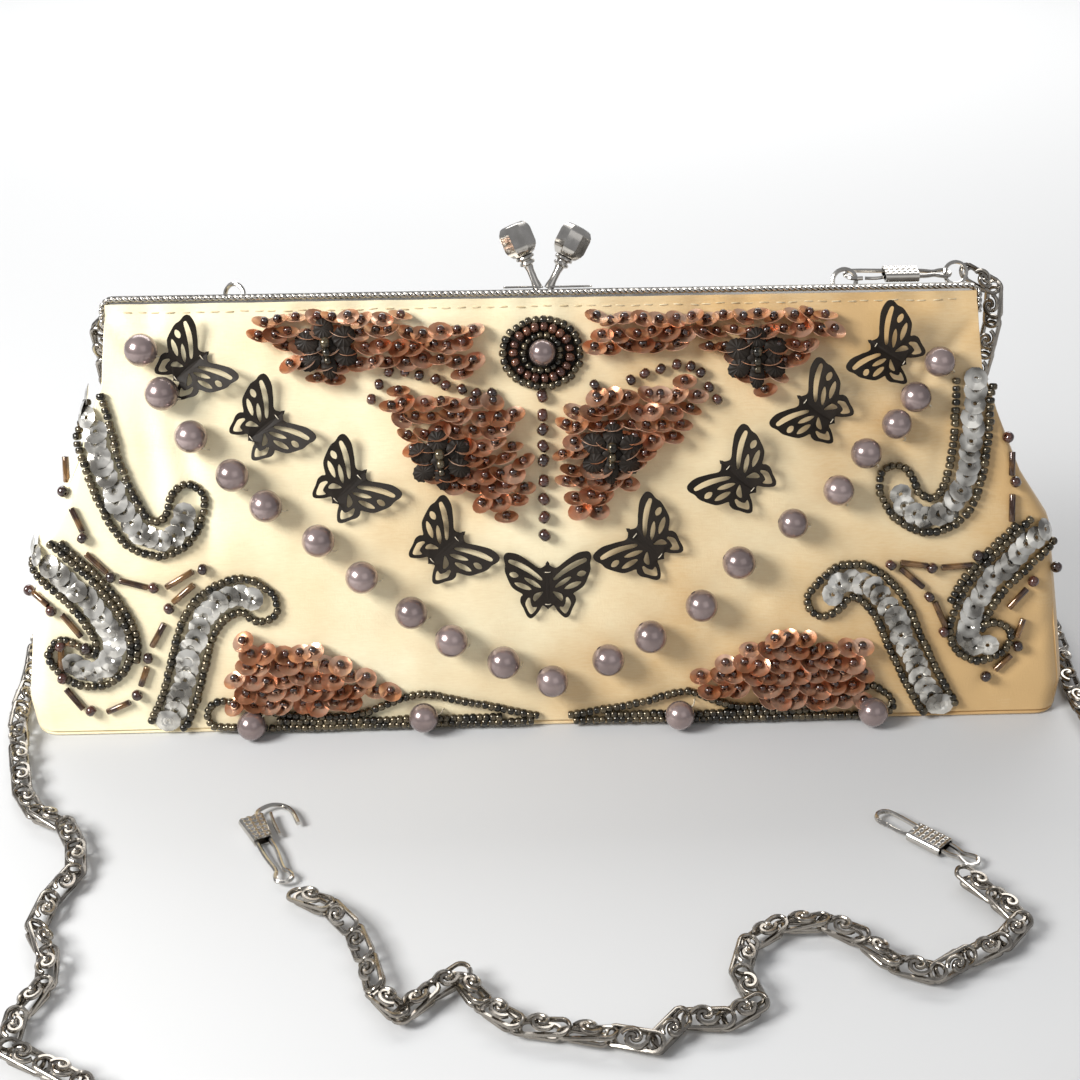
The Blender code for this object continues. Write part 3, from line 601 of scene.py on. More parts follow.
def cloth_rise(x, s):
    """Height of the cloth over its panel; a fold runs from one point to another, width, depth."""
    gather = 0.28 * math.exp(-(s / 8) ** 2) * math.sin(x * 0.46 + 1.3 * math.sin(x * 0.13))
    seam = -0.45 * math.exp(-((s - 2.1) / 1.0) ** 2)
    swell = 0.4 + 0.6 * noise.noise(Vector((x / 30, s / 24, 0.7)))
    swell += 0.25 * noise.noise(Vector((x / 11, s / 13, 3.1)))
    total = gather + seam + swell
    for (x0, s0), (x1, s1), width, depth in FOLDS:
        along = Vector((x1 - x0, s1 - s0))
        share = ((x - x0) * along.x + (s - s0) * along.y) / along.length_squared
        share = min(max(share, 0), 1)
        off = math.hypot(x - x0 - along.x * share, s - s0 - along.y * share)
        total -= depth * math.exp(-(off / width) ** 2) * math.sin(math.pi * (0.15 + 0.7 * share))
    return max(total, DEEPEST_DIP)


def on_face(x, s, lift=0.0, turn=0.0, tip=0.0):
    """Axes on the front: X across, Y up the face, Z out of it, following the rounded sides."""
    t = 1 - s / FACE_LENGTH
    rise = front_line(t + 0.01) - front_line(t - 0.01)
    up = Vector((0, rise[0], rise[1])).normalized()
    out = Vector((1, 0, 0)).cross(up)
    side = 1 if x > 0 else -1
    radius = corner_radius(t)
    flat = half_width(t) - radius
    over = min(max(abs(x) - flat, 0), 0.97 * radius)
    swing = math.asin(over / radius)
    y, z = front_line(t)
    centre = Vector((side * min(abs(x), flat + over), y, z)) - out * radius * (1 - math.cos(swing))
    lean = Matrix.Rotation(side * swing, 3, up)
    across, out = lean @ Vector((1, 0, 0)), lean @ out
    centre += out * (lift + cloth_rise(x, s))
    axes = Matrix((across, up, out)).transposed().to_4x4()
    turned_axes = axes @ Matrix.Rotation(math.radians(turn), 4, "Z")
    tipped = Matrix.Rotation(math.radians(tip), 4, "X")
    return Matrix.Translation(centre * MM) @ turned_axes @ tipped


# %% A skin through rows of points, thickened inwards and closed at its edges
def shell(rows, thickness, keep=None, loop=False, floor=False):
    grid = np.array(rows, float)
    high, wide = grid.shape[:2]
    if loop:
        along = np.roll(grid, -1, 1) - np.roll(grid, 1, 1)
    else:
        along = np.gradient(grid, axis=1)
    normal = np.cross(along, np.gradient(grid, axis=0))
    normal /= np.linalg.norm(normal, axis=2, keepdims=True)
    inner_face = grid - normal * thickness
    corners = np.concatenate([grid.reshape(-1, 3), inner_face.reshape(-1, 3)])
    inner = high * wide
    faces, rim = [], {}
    for r in range(high - 1):
        for c in range(wide if loop else wide - 1):
            if keep and not keep(r, c):
                continue
            d = (c + 1) % wide
            quad = [r * wide + c, r * wide + d, (r + 1) * wide + d, (r + 1) * wide + c]
            faces += [quad, [i + inner for i in quad[::-1]]]
            for edge in zip(quad, quad[1:] + quad[:1]):
                if edge[::-1] in rim:
                    del rim[edge[::-1]]
                else:
                    rim[edge] = True
    if floor:
        faces += [list(range(wide))[::-1], [i + inner for i in range(wide)]]
        rim = {edge: True for edge in rim if max(edge) >= wide}
    faces += [[b, a, a + inner, b + inner] for a, b in rim]
    used = sorted({i for face in faces for i in face})
    place = {old: new for new, old in enumerate(used)}
    return corners[used] * MM, [[place[i] for i in face] for face in faces]


# %% [markdown]
# ## Satin panels, lining and base
# The front is one panel turned over the front corners. The back and both gussets are cut in one,
# and above the hinges only the back goes on, up to the moving half of the frame.

# %% Front panel
FOOT_T, GUSSET_TOP_T = 0.0146, 0.80


def front_seam(t):
    share = min(max((t - 0.6) / 0.15, 0), 1)
    return 40 + 36 * share


def front_row(t):
    seam = front_seam(t)
    left, right = corner(t, -1, -1, seam, 90), corner(t, 1, -1, 90, seam)
    row = np.array(left + between(left[-1], right[0], 150) + right)
    rise = front_line(t + 0.01) - front_line(t - 0.01)
    out = np.array([0, -rise[1], rise[0]]) / np.linalg.norm(rise)
    lifts = [cloth_rise(x, (1 - t) * FACE_LENGTH) for x in row[:, 0]]
    return row + out * np.array(lifts)[:, None]


front_skin = piece("front_skin", shell([front_row(t) for t in np.linspace(FOOT_T, 1, 90)], 0.9),
                   "satin", instead_of=["front_panel"])


# %% Back and gussets
def body_row(t, inset=0.0):
    right = corner(t, 1, -1, front_seam(t) + 4, 0, inset) + side_wall(t, 1, inset)
    right += corner(t, 1, 1, 0, 90, inset)
    left = corner(t, -1, 1, 90, 0, inset) + side_wall(t, -1, inset)
    left += corner(t, -1, -1, 0, front_seam(t) + 4, inset)
    row = np.array(right + between(right[-1], left[0], 60) + left)
    s = (1 - t) * FACE_LENGTH
    row[:, 1] += [0.5 * noise.noise(Vector((x / 30, s / 24, 5))) - 0.3 for x in row[:, 0]]
    return row, len(right) - 5


BODY_TS = list(np.linspace(FOOT_T, GUSSET_TOP_T, 46)) + list(np.linspace(0.81, 0.995, 12))
EDGE_COLUMN = body_row(0.5)[1]
BODY_COLUMNS = len(body_row(0.5)[0])


def body_keeps(row, column):
    return row < 45 or EDGE_COLUMN <= column < BODY_COLUMNS - 1 - EDGE_COLUMN


body_skin = piece("body_skin", shell([body_row(t)[0] for t in BODY_TS], 1.0, body_keeps), "satin",
                  body=None, instead_of=["left_gusset", "right_gusset", "back_panel",
                                         "back_top_panel"])
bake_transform(body_skin)


# %% Lining
def lining_row(t):
    inset = 2.1
    row = corner(t, -1, -1, 0, 90, inset, 5)
    right = corner(t, 1, -1, 90, 0, inset, 5)
    row += between(row[-1], right[0], 40) + right + side_wall(t, 1, inset, 6)
    back = corner(t, 1, 1, 0, 90, inset, 5)
    left = corner(t, -1, 1, 90, 0, inset, 5)
    return row + back + between(back[-1], left[0], 40) + left + side_wall(t, -1, inset, 6)


LINING_TS = list(np.linspace(0.045, GUSSET_TOP_T, 30)) + list(np.linspace(0.82, 0.98, 8))
LINING_WIDE = len(lining_row(0.5))


def lining_keeps(row, column):
    if row < 29:
        return True
    x = abs(lining_row(0.9)[column][0])
    following = abs(lining_row(0.9)[(column + 1) % LINING_WIDE][0])
    return max(x, following) < 106.4


lining_skin = piece("lining_skin", shell([lining_row(t) for t in LINING_TS], 0.4, lining_keeps,
                                         loop=True, floor=True),
                    "lining", body=None, instead_of=["lining"])
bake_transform(lining_skin)


# %% Base
def stacked(loops):
    """Closed outlines of equal length, one above another, with both ends filled."""
    wide = len(loops[0])
    faces = [list(range(wide))[::-1], list(range((len(loops) - 1) * wide, len(loops) * wide))]
    for r in range(len(loops) - 1):
        for c in range(wide):
            d = (c + 1) % wide
            faces.append([r * wide + c, r * wide + d, (r + 1) * wide + d, (r + 1) * wide + c])
    return np.array([p for loop in loops for p in loop], float) * MM, faces


def rounded_outline(half_x, half_y, radius, z, steps=8):
    points = []
    for sx, sy, first in ((1, 1, 0), (-1, 1, 90), (-1, -1, 180), (1, -1, 270)):
        for a in np.radians(np.linspace(first, first + 90, steps)):
            points.append((sx * (half_x - radius) + radius * math.cos(a),
                           sy * (half_y - radius) + radius * math.sin(a), z))
    return points


BASE_EDGE = [(1.2, 0), (0.3, 0.15), (0, 0.5), (0, 0.8), (0.4, 1.1), (1.4, 1.2)]
base_skin = piece("base_skin", stacked([rounded_outline(132.5 - inset, 25 - inset, 6.5 - inset, z)
                                        for inset, z in BASE_EDGE]),
                  "satin", instead_of=["base_panel"])
print("cloth pieces:", [o.name for o in (front_skin, body_skin, lining_skin, base_skin)])


# %% [markdown]
# ## The frame and its twisted edge
# The two rails are bent from nickel strip, and a twisted wire is soldered along each to hide the
# cloth's edge. Twisted wire is two strands wound round each other, so it is built as two helices
# on the same line. Everything on the frame is placed in the frame's own leaning axes.

# %% Frame axes, rails and rope edges
FRAME_AXES = Matrix.Translation(Vector((0, 9.6, 86.5)) * MM) @ Matrix.Rotation(
    math.radians(-19.9), 4, "X")
ROPE_OFFSET, ROPE_LEVEL, ROPE_HALF, ROPE_DROP, ROPE_CORNER = 4.0, 17.6, 109.4, 4.0, 2.5


def rope(line, pitch, radius):
    """Two strands wound round a line given in millimetres."""
    even = even_line(line, 0.24)
    strands = []
    for start in (0, math.pi):
        points = []
        for i, (here, after) in enumerate(zip(even, even[1:])):
            along = Vector(after - here).normalized()
            side = along.cross(Vector((0, 1, 0))).normalized()
            other = along.cross(side)
            a = start + 2 * math.pi * 0.24 * i / pitch
            points.append(Vector(here) + (side * math.cos(a) + other * math.sin(a)) * radius * 0.52)
        strands.append(swept(points, radius * 0.56, 6))
    return joined(strands)


def rope_line(towards):
    half = [(ROPE_HALF, towards * ROPE_OFFSET, ROPE_LEVEL - ROPE_CORNER - ROPE_DROP)]
    for a in np.radians(np.linspace(0, 90, 9)):
        half.append((ROPE_HALF - ROPE_CORNER + ROPE_CORNER * math.cos(a), towards * ROPE_OFFSET,
                     ROPE_LEVEL - ROPE_CORNER + ROPE_CORNER * math.sin(a)))
    return half + [(-x, y, z) for x, y, z in reversed(half)]


for name, towards, body in (("front", -1, "bag_body"), ("back", 1, "back_frame")):
    twist = placed(rope(rope_line(towards), 2.9, 0.68), FRAME_AXES)
    piece(f"{name}_twisted_edge", twist, "nickel", body, [f"{name}_rope_edge"], crease=70)

OWN_SHAPE = {"front_frame_rail": "nickel", "back_frame_rail": "nickel", "base_board": "board",
             "hinge_rivet_left": "nickel", "hinge_rivet_right": "nickel"}
for name, look in OWN_SHAPE.items():
    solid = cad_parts[name]
    solid.data.materials.clear()
    solid.data.materials.append(MATERIALS[look])
    edge = solid.modifiers.new("edge", "BEVEL")
    edge.width, edge.segments, edge.limit_method = 0.25 * MM, 2, "ANGLE"
print("rails, rivets and board keep their own shape")

# %% [markdown]
# ## The knobs
# Each knob is turned from bar: a thin stem, two collars and an eight-sided barrel head whose
# edges are eased. They lean across each other, so one has to be pushed past the other.

# %% Knobs
STEM = [(0, -0.4), (1.25, -0.4), (1.2, 0.6), (0.95, 2.0), (0.95, 4.6), (1.2, 5.9), (1.9, 6.25),
        (2.0, 6.6), (1.9, 6.95), (1.45, 7.15), (1.5, 7.4), (2.3, 7.7), (2.4, 8.05), (2.3, 8.35),
        (1.7, 8.6), (1.7, 9.2), (0, 9.2)]
HEAD = [(0, 8.55), (2.4, 8.55), (3.1, 8.9), (4.1, 10.2), (4.4, 11.0), (4.4, 14.6), (4.2, 15.4),
        (3.5, 16.4), (2.9, 16.7), (0, 16.85)]
for name, root, lean, nod, plate, body in (
        ("front_knob", (-1.2, -1.65), -22, 3, (-9.8, 0.2), "bag_body"),
        ("back_knob", (1.8, 1.65), 28, -3, (0.9, 12.6), "back_frame")):
    tilt = Matrix.Rotation(math.radians(lean), 4, "Y") @ Matrix.Rotation(math.radians(nod), 4, "X")
    foot = FRAME_AXES @ Matrix.Translation(Vector((root[0], root[1], 18.9)) * MM) @ tilt
    stem = turned(STEM, 24, hollow=False)
    head = turned(HEAD, 8, hollow=False)
    strip = stacked([rounded_outline(abs(plate[1] - plate[0]) / 2 - e, 1.3 - e, 0.6, z)
                     for e, z in ((0.1, 0), (0, 0.12), (0, 0.38), (0.12, 0.5))])
    strip_at = Matrix.Translation(Vector((sum(plate) / 2, root[1], 18.8)) * MM)
    shape = joined([placed(stem, foot), placed(head, foot @ Matrix.Rotation(0.39, 4, "Z")),
                    placed(strip, FRAME_AXES @ strip_at)])
    piece(f"{name}_turned", shape, "nickel", body, [name], crease=28)

# %% [markdown]
# ## Clips and rings
# A clip is one wire bent to an eye at one end and a hook at the other, held by a flattened tube
# whose faces are pressed with dimples. A sprung length of wire closes the hook. The same function
# makes all four, in axes that run from the eye to the hook.

# %% One clip
SLEEVE_HALF_WIDTH, SLEEVE_HALF_THICK, SLEEVE_WALL = 3.2, 1.3, 0.45


def dimple(u, v, start):
    across = v / 1.7 - round(v / 1.7)
    along = (u - start) / 1.42 - math.floor((u - start) / 1.42) - 0.5
    return 0.34 * max(0, 1 - (across / 0.46) ** 2 - (along / 0.42) ** 2)


def sleeve_shape(start, end, neck=1.0):
    """A dimpled flat tube; neck is its width at the start as a share of its width at the end."""
    flat = SLEEVE_HALF_WIDTH - SLEEVE_HALF_THICK
    walls = []
    for thick, dents in ((SLEEVE_HALF_THICK, True), (SLEEVE_HALF_THICK - SLEEVE_WALL, False)):
        loop = [(v, thick) for v in np.linspace(flat, -flat, 15)]
        loop += [(-flat - thick * math.sin(a), thick * math.cos(a))
                 for a in np.radians(np.linspace(20, 160, 8))]
        loop += [(-v, -n) for v, n in loop]
        stations = np.linspace(start, end, 37 if dents else 2)
        rings = []
        for u in stations:
            ring = []
            for v, n in loop:
                dent = dimple(u, v, start) if dents and abs(abs(n) - thick) < 1e-6 else 0
                narrow = neck + (1 - neck) * (u - start) / (end - start)
                ring.append((u, v * narrow, n - math.copysign(dent, n)))
            rings.append(ring)
        walls.append(rings)
    rings = walls[0] + walls[1][::-1]
    wide = len(rings[0])
    faces = []
    for low in range(len(rings)):
        high = (low + 1) % len(rings)
        for c in range(wide):
            d = (c + 1) % wide
            faces.append([low * wide + c, low * wide + d, high * wide + d, high * wide + c])
    return np.array([p for ring in rings for p in ring]) * MM, faces


CLOSED_HOOK = [(23.4, -2.3), (25, -2.4), (26.6, -1.8), (27.45, 0), (26.6, 1.9), (24.5, 2.4),
               (18.4, 2.1), (15, 1.75), (9, 1.7), (7, 1.5), (4.8, 0.95), (3.2, 1.6), (1.6, 1.8),
               (0.55, 0), (1.6, -1.8), (3.2, -1.6), (4.8, -0.95), (7, -1.5), (10.5, -1.6)]
CLOSED_GATE = [(15.5, -1.3), (17.2, -1.6), (19.2, -2.3), (21, -2.45), (22.8, -2.3)]
OPEN_HOOK = [(19.5, 9.4), (24, 9.6), (27.4, 8.6), (29.2, 6.2), (28.8, 3.2), (27, 1.5), (24, 1.3),
             (17, 1.5), (12, 1.6), (5.5, 0.95), (3.4, 1.7), (1.6, 1.8), (0.55, 0), (1.6, -1.8),
             (3.4, -1.7), (5.5, -0.95), (12, -1.5), (24, -1.6)]
OPEN_GATE = [(17.6, 4.1), (22, 4.3), (26.3, 4.8)]


def clip_axes(eye, along, side):
    u, v = Vector(along).normalized(), Vector(side).normalized()
    turn = Matrix((u, v, u.cross(v))).transposed().to_4x4()
    return Matrix.Translation(Vector(eye) * MM) @ turn


def make_clip(prefix, place, hook, gate, sleeve, body, gate_body):
    wire = swept(even_line(smooth_line([(u, v, 0) for u, v in hook]), 0.45), 0.55, 8)
    spring = swept(even_line(smooth_line([(u, v, 0) for u, v in gate]), 0.45), 0.45, 8)
    made = [piece(f"{prefix}_wire", placed(wire, place), "nickel", body, [f"{prefix}_hook"]),
            piece(f"{prefix}_tube", placed(sleeve_shape(*sleeve), place), "nickel", body,
                  [f"{prefix}_sleeve"], crease=50),
            piece(f"{prefix}_spring", placed(spring, place), "nickel", gate_body,
                  [f"{prefix}_gate"])]
    return made


# %% Four clips, and the rings that join chain to clip and clip to frame
make_clip("frame_clip_right",
          FRAME_AXES @ clip_axes((104.9, 5.5, 20.9), (-1, 0, 0), (0, 0.906, 0.423)),
          CLOSED_HOOK, CLOSED_GATE, (9, 17.5), "back_frame", "gate_right")
make_clip("frame_clip_left", FRAME_AXES @ clip_axes((-102.4, 7.6, 14.4), (1, 0, 0), (0, 0, 1)),
          CLOSED_HOOK, CLOSED_GATE, (9, 17.5), "back_frame", "gate_left")
loose = make_clip("table_clip_right",
                  clip_axes((95.5, -87, 1.6), (-0.69, 0.72, 0), (0.72, 0.69, 0)),
                  CLOSED_HOOK, CLOSED_GATE, (9, 17.5), "bag_body", "table_gate_right")
loose += make_clip("table_clip_left",
                   clip_axes((-61, -87.5, 1.6), (-0.42, 0.907, 0), (0.907, 0.42, 0)),
                   OPEN_HOOK, OPEN_GATE, (17, 26, 0.74), "bag_body", "table_gate_left")


def ring(centre, radius, wire, axis):
    turn = Vector((0, 0, 1)).rotation_difference(Vector(axis).normalized())
    points = [Vector(centre) + turn @ Vector((radius * math.cos(a), radius * math.sin(a), 0))
              for a in np.linspace(0, 2 * math.pi, 32, endpoint=False)]
    return swept(points, wire, 8, closed=True)


RINGS = {"bail_right": ((77.3, 5.5, 19.3), 3.0, 0.6, (0, 1, 0)),
         "chain_ring_right": ((105.8, 5.5, 20.9), 2.8, 0.5, (0, 1, 0)),
         "bail_left": ((-78.2, 7.6, 18.2), 3.0, 0.6, (0.5, 0.866, 0)),
         "chain_ring_left": ((-103.3, 7.6, 14.4), 2.8, 0.5, (0, 0, 1))}
for name, values in RINGS.items():
    piece(f"{name}_wire", placed(ring(*values), FRAME_AXES), "nickel", "back_frame", [name])
print("clips, rings and chains:", len(loose) + len(RINGS) + 8, "pieces")


# %% [markdown]
# ## Beads and sequins
# Seed beads, round beads, bugles and pearls are all glass with a hole, so each is a closed
# profile turned round its hole. A cup sequin is a thin dished disc with a hole. Beads on a thread
# lie with their holes along it; a sequin is held by one small bead over its hole.

# %% Templates, in millimetres
ALONG_X = Matrix.Rotation(math.pi / 2, 4, "Y")
SEED = placed(turned([(0.3, -0.55), (0.72, -0.68), (0.98, -0.36), (0.98, 0.36), (0.72, 0.68),
                      (0.3, 0.55)], 9), ALONG_X)
ROUND = placed(turned([(0.4, -1.05), (0.95, -1.15), (1.4, -0.65), (1.52, 0), (1.4, 0.65),
                       (0.95, 1.15), (0.4, 1.05)], 14), ALONG_X)
PEARL = placed(turned([(3.75 * math.cos(a), 3.75 * math.sin(a))
                       for a in np.radians(np.linspace(-81, 81, 13))], 24), ALONG_X)
CUP_SEQUIN = turned([(0.45, 0), (1.5, 0.05), (3.0, 0.8), (3.0, 0.92), (1.5, 0.19),
                     (0.45, 0.14)], 14)
FLAT_SEQUIN = turned([(0.55, 0.1), (1.3, 0.5), (3.0, 0), (3.0, 0.12), (1.3, 0.64),
                      (0.55, 0.24)], 10)


def bugle(length):
    half = length / 2
    profile = [(0.35, -half), (0.75, -half), (0.85, 0.2 - half), (0.85, half - 0.2), (0.75, half),
               (0.35, half)]
    return placed(turned(profile, 8), ALONG_X)


SEED_PITCH, SEED_LIFT = 1.72, 0.95      # one seed bead to the next, and its middle over the cloth
RNG = np.random.default_rng(7)


def jitter(amount):
    return float(RNG.uniform(-amount, amount))


def face_turn(a, b):
    """The turn of a line from a to b on the face, where s runs down."""
    return math.degrees(math.atan2(-(b[1] - a[1]), b[0] - a[0]))


def bead_row(points, pitch, lift, template, size=1.0, closed=False, wobble=0.12):
    line = even_line(smooth_line(points, closed=closed), pitch, closed)
    shapes = []
    last = len(line) if closed else len(line) - 1
    for i in range(last):
        a, b = line[i], line[(i + 1) % len(line)]
        x, s = (a + b) / 2
        turn = face_turn(a, b) + jitter(8)
        place = on_face(x + jitter(wobble), s + jitter(wobble), lift, turn)
        shapes.append(placed(scaled(template, size * (1 + jitter(0.08))), place))
    return shapes


# %% [markdown]
# ## Clear sequin scrolls
# Six scrolls of overlapping clear sequins curl in from the sides. Each is couched inside an
# outline of dark seed beads that closes round its hooked end.

# %% Scroll centre lines and their outlines
SCROLLS = [
    [(-114.5, 21), (-112, 30), (-110, 39), (-107, 47), (-103, 54), (-97.5, 56.8), (-92, 54),
     (-89.5, 47.5)],
    [(-129, 58.5), (-123, 64.5), (-116.5, 71), (-111.5, 78.5), (-110, 85.5), (-113.5, 90.5),
     (-119, 90), (-122.5, 86.5)],
    [(-98.5, 107.4), (-94.5, 99), (-91.5, 89), (-89, 81), (-84.5, 74.5), (-77, 71.4),
     (-72.3, 74.5)],
    [(107.5, 21), (107, 34), (105.5, 44.5), (102.5, 52), (96.5, 54.7), (90.5, 51.5), (88, 46)],
    [(126, 58.5), (119.5, 65), (113, 71.5), (108.5, 78.5), (107, 85.5), (110, 89), (114.5, 87)],
    [(101.5, 107.4), (96, 97.5), (91.5, 88), (87.5, 79), (82, 72.5), (75.5, 71), (70, 76)],
]
OUTLINE_GAP = 4.3
LOWEST_SEQUIN = 104.8


def shifted(line, gap):
    ahead = np.gradient(line, axis=0)
    ahead /= np.linalg.norm(ahead, axis=1, keepdims=True)
    return line + np.stack([-ahead[:, 1], ahead[:, 0]], 1) * gap


def outline(line, gap):
    """Both sides of a line, joined by a half circle round its last point."""
    ahead = line[-1] - line[-2]
    first = math.atan2(ahead[0], -ahead[1])
    cap = [line[-1] + gap * np.array([math.cos(first - a), math.sin(first - a)])
           for a in np.linspace(0.3, math.pi - 0.3, 7)]
    return np.vstack([shifted(line, gap), cap, shifted(line, -gap)[::-1]])


SECOND_ROW = {1: -1, 4: 1}      # the side on which a scroll's outline is doubled
sequins, outlines = [], []
for number, points in enumerate(SCROLLS):
    centre = even_line(smooth_line(points), 3.0)
    for i, (a, b) in enumerate(zip(centre, centre[1:])):
        turn = face_turn(a, b) - 90
        lift = 1.2 + jitter(0.3)
        x, s = a[0] + jitter(0.5), min(a[1] + jitter(0.5), LOWEST_SEQUIN)
        place = on_face(x, s, lift, turn, 13 + jitter(10))
        sequins.append(placed(scaled(FLAT_SEQUIN, 1 + jitter(0.05)), place))
    edge = outline(even_line(smooth_line(points), 1.0), OUTLINE_GAP)
    edge[:, 1] = np.clip(edge[:, 1], 3, 107.3)
    outlines += bead_row(edge[::3], SEED_PITCH, SEED_LIFT, SEED, 1.12)
    if number in SECOND_ROW:
        gap = SECOND_ROW[number] * (OUTLINE_GAP + 1.7)
        outer = shifted(even_line(smooth_line(points), 4.0), gap)
        outlines += bead_row(outer[1:-4], SEED_PITCH, SEED_LIFT - 0.1, SEED, 1.08)
piece("scroll_sequins", joined(sequins), "clear", crease=30)
piece("scroll_outline_beads", joined(outlines), "gunmetal", crease=60)
print("scrolls:", len(sequins), "sequins and", len(outlines), "seed beads")

# %% [markdown]
# ## Copper cup sequins
# Six fields of copper cup sequins overlap like scales: each is crowded up by its neighbours until
# its lower rim stands proud, and one brown bead holds it at the middle.

# %% Sequin fields
FIELDS = [
    [(-73, 4), (-15, 5.5), (-15, 9), (-18.5, 19.5), (-41, 15), (-54.5, 21.5), (-61, 18),
     (-71.5, 8)],
    [(-39.5, 21), (-7.5, 26.5), (-3.5, 40), (-8, 55), (-16.5, 51.5), (-31.5, 42), (-40.5, 27)],
    [(72.5, 5), (12.5, 6), (12.5, 15.5), (39, 12.5), (54, 25), (72.5, 9.5)],
    [(2.5, 25.5), (39, 20), (40.5, 26), (24, 43), (11, 55), (3.5, 45.5)],
    [(-80.5, 89.5), (-77, 83), (-70, 87.5), (-62, 84), (-36, 98.5), (-60, 103.5), (-81.5, 103)],
    [(82, 90.5), (77, 85), (70, 89.5), (62, 81.5), (35, 98), (60, 105), (82, 104)],
]


def inside(point, polygon):
    x, s = point
    hit = False
    for (x0, s0), (x1, s1) in zip(polygon, polygon[1:] + polygon[:1]):
        if (s0 > s) != (s1 > s) and x < x0 + (s - s0) * (x1 - x0) / (s1 - s0):
            hit = not hit
    return hit


def field_points(polygon, pitch):
    points = []
    low_x, high_x = min(p[0] for p in polygon), max(p[0] for p in polygon)
    low_s, high_s = min(p[1] for p in polygon), max(p[1] for p in polygon)
    for row, s in enumerate(np.arange(low_s + 1, high_s, pitch * 0.84)):
        for x in np.arange(low_x + (row % 2) * pitch / 2, high_x, pitch):
            if inside((x, s), polygon):
                points.append((x + jitter(0.6), s + jitter(0.6)))
    return points


CUP_PITCH, CUP_LIFT, CUP_TIP = 4.1, 2.3, -54
cups, holders = [], []
for polygon in FIELDS:
    for x, s in field_points(polygon, CUP_PITCH):
        place = on_face(x, s, CUP_LIFT + jitter(0.5), jitter(34), tip=CUP_TIP + jitter(15))
        cups.append(placed(scaled(CUP_SEQUIN, 1 + jitter(0.06)), place))
        seat = place @ Matrix.Translation(Vector((0, 0.5, 1.0)) * MM)
        spin = Matrix.Rotation(math.radians(80 + jitter(60)), 4, "Z")
        holders.append(placed(scaled(ROUND, 0.76), seat @ spin))
piece("copper_cup_sequins", joined(cups), "copper", crease=50)
piece("sequin_holding_beads", joined(holders), "garnet", crease=60)
print("fields:", len(cups), "cup sequins")

# %% [markdown]
# ## Loose bead lines, bugles and pearls
# Brown round beads draw the lines between the fields, bugles and beads ring the scrolls, and
# twenty-one large pearls lie below the butterflies in a wide curve, each on its own stitch, with
# four more along the bottom. The pearls at the right-hand end and along the bottom are smaller.

# %% Bead lines and bugles
COLUMN = [(-0.6, s) for s in (23.5, 28, 31.5, 35.5, 39, 44, 48.5, 53, 57.5)]
BEAD_LINES = [
    [(-43, 23.5), (-41, 20), (-38.5, 17), (-34.5, 17), (-31, 18), (-27, 19), (-24.5, 20.5),
     (-20.5, 21.5), (-17, 22.5), (-13, 22.5)],
    [(12.5, 21), (13.5, 25), (21.5, 20), (25, 18.5), (29, 17.5), (33, 16.5), (36.5, 17), (39, 18.5),
     (41, 22), (43, 25)],
]
SIDE_BEADS = [
    (-119.5, 44.5), (-116, 56), (-109.5, 66), (-99, 69), (-86.5, 64.5), (-95.5, 74.5),
    (-101.5, 87.5), (-105, 97.5), (-117, 101.5), (-123.5, 92.5), (-123.5, 84), (-117, 84.5),
    (-130, 70), (-125, 74.5), (115.5, 35.5), (118, 46.5), (87, 67), (97.5, 68), (109, 65),
    (97, 75.5), (101, 85), (129, 69), (123.5, 72), (120.5, 89.5), (112.5, 97.5)]
BUGLES = [
    ((-119.5, 36), (-120, 42.5)), ((-118.5, 48.5), (-116, 54.5)), ((-115.5, 60), (-110.5, 65)),
    ((-107.5, 67), (-100.5, 69)), ((-96, 69), (-89, 65)), ((-89, 68.5), (-94.5, 73)),
    ((-97, 78.5), (-100.5, 84.5)), ((-102, 90), (-104, 95)), ((-107, 99.5), (-113, 102)),
    ((-119, 101), (-123, 95.5)), ((-124, 91), (-123.5, 85)), ((-122, 83), (-118.5, 84)),
    ((-129.5, 70), (-125, 73)), ((-122.5, 75.5), (-118, 81.5)), ((117, 39), (117, 45)),
    ((117.5, 49.5), (117.5, 56.5)), ((89.5, 66.5), (96.5, 67.5)), ((100, 68), (108, 67.5)),
    ((89.5, 68), (95.5, 73)), ((98.5, 77), (101.5, 83.5)), ((122, 74), (117.5, 79)),
    ((121.5, 82), (120, 87)), ((119, 92), (115, 96))]


def lone_bead(x, s, template, lift, size=1.0):
    return placed(scaled(template, size), on_face(x, s, lift, jitter(50)))


brown = [lone_bead(x, s, ROUND, 1.5, 1.12) for x, s in COLUMN]
brown += [lone_bead(x, s, ROUND, 1.4, 0.98) for x, s in SIDE_BEADS]
brown += [lone_bead(x, s, ROUND, 1.4, 0.96) for line in BEAD_LINES for x, s in line]
piece("brown_round_beads", joined(brown), "garnet", crease=60)
tubes = []
for a, b in BUGLES:
    length = math.hypot(b[0] - a[0], b[1] - a[1])
    place = on_face((a[0] + b[0]) / 2, (a[1] + b[1]) / 2, 1.0, face_turn(a, b))
    tubes.append(placed(bugle(length), place))
piece("bugle_beads", joined(tubes), "bugle", crease=50)

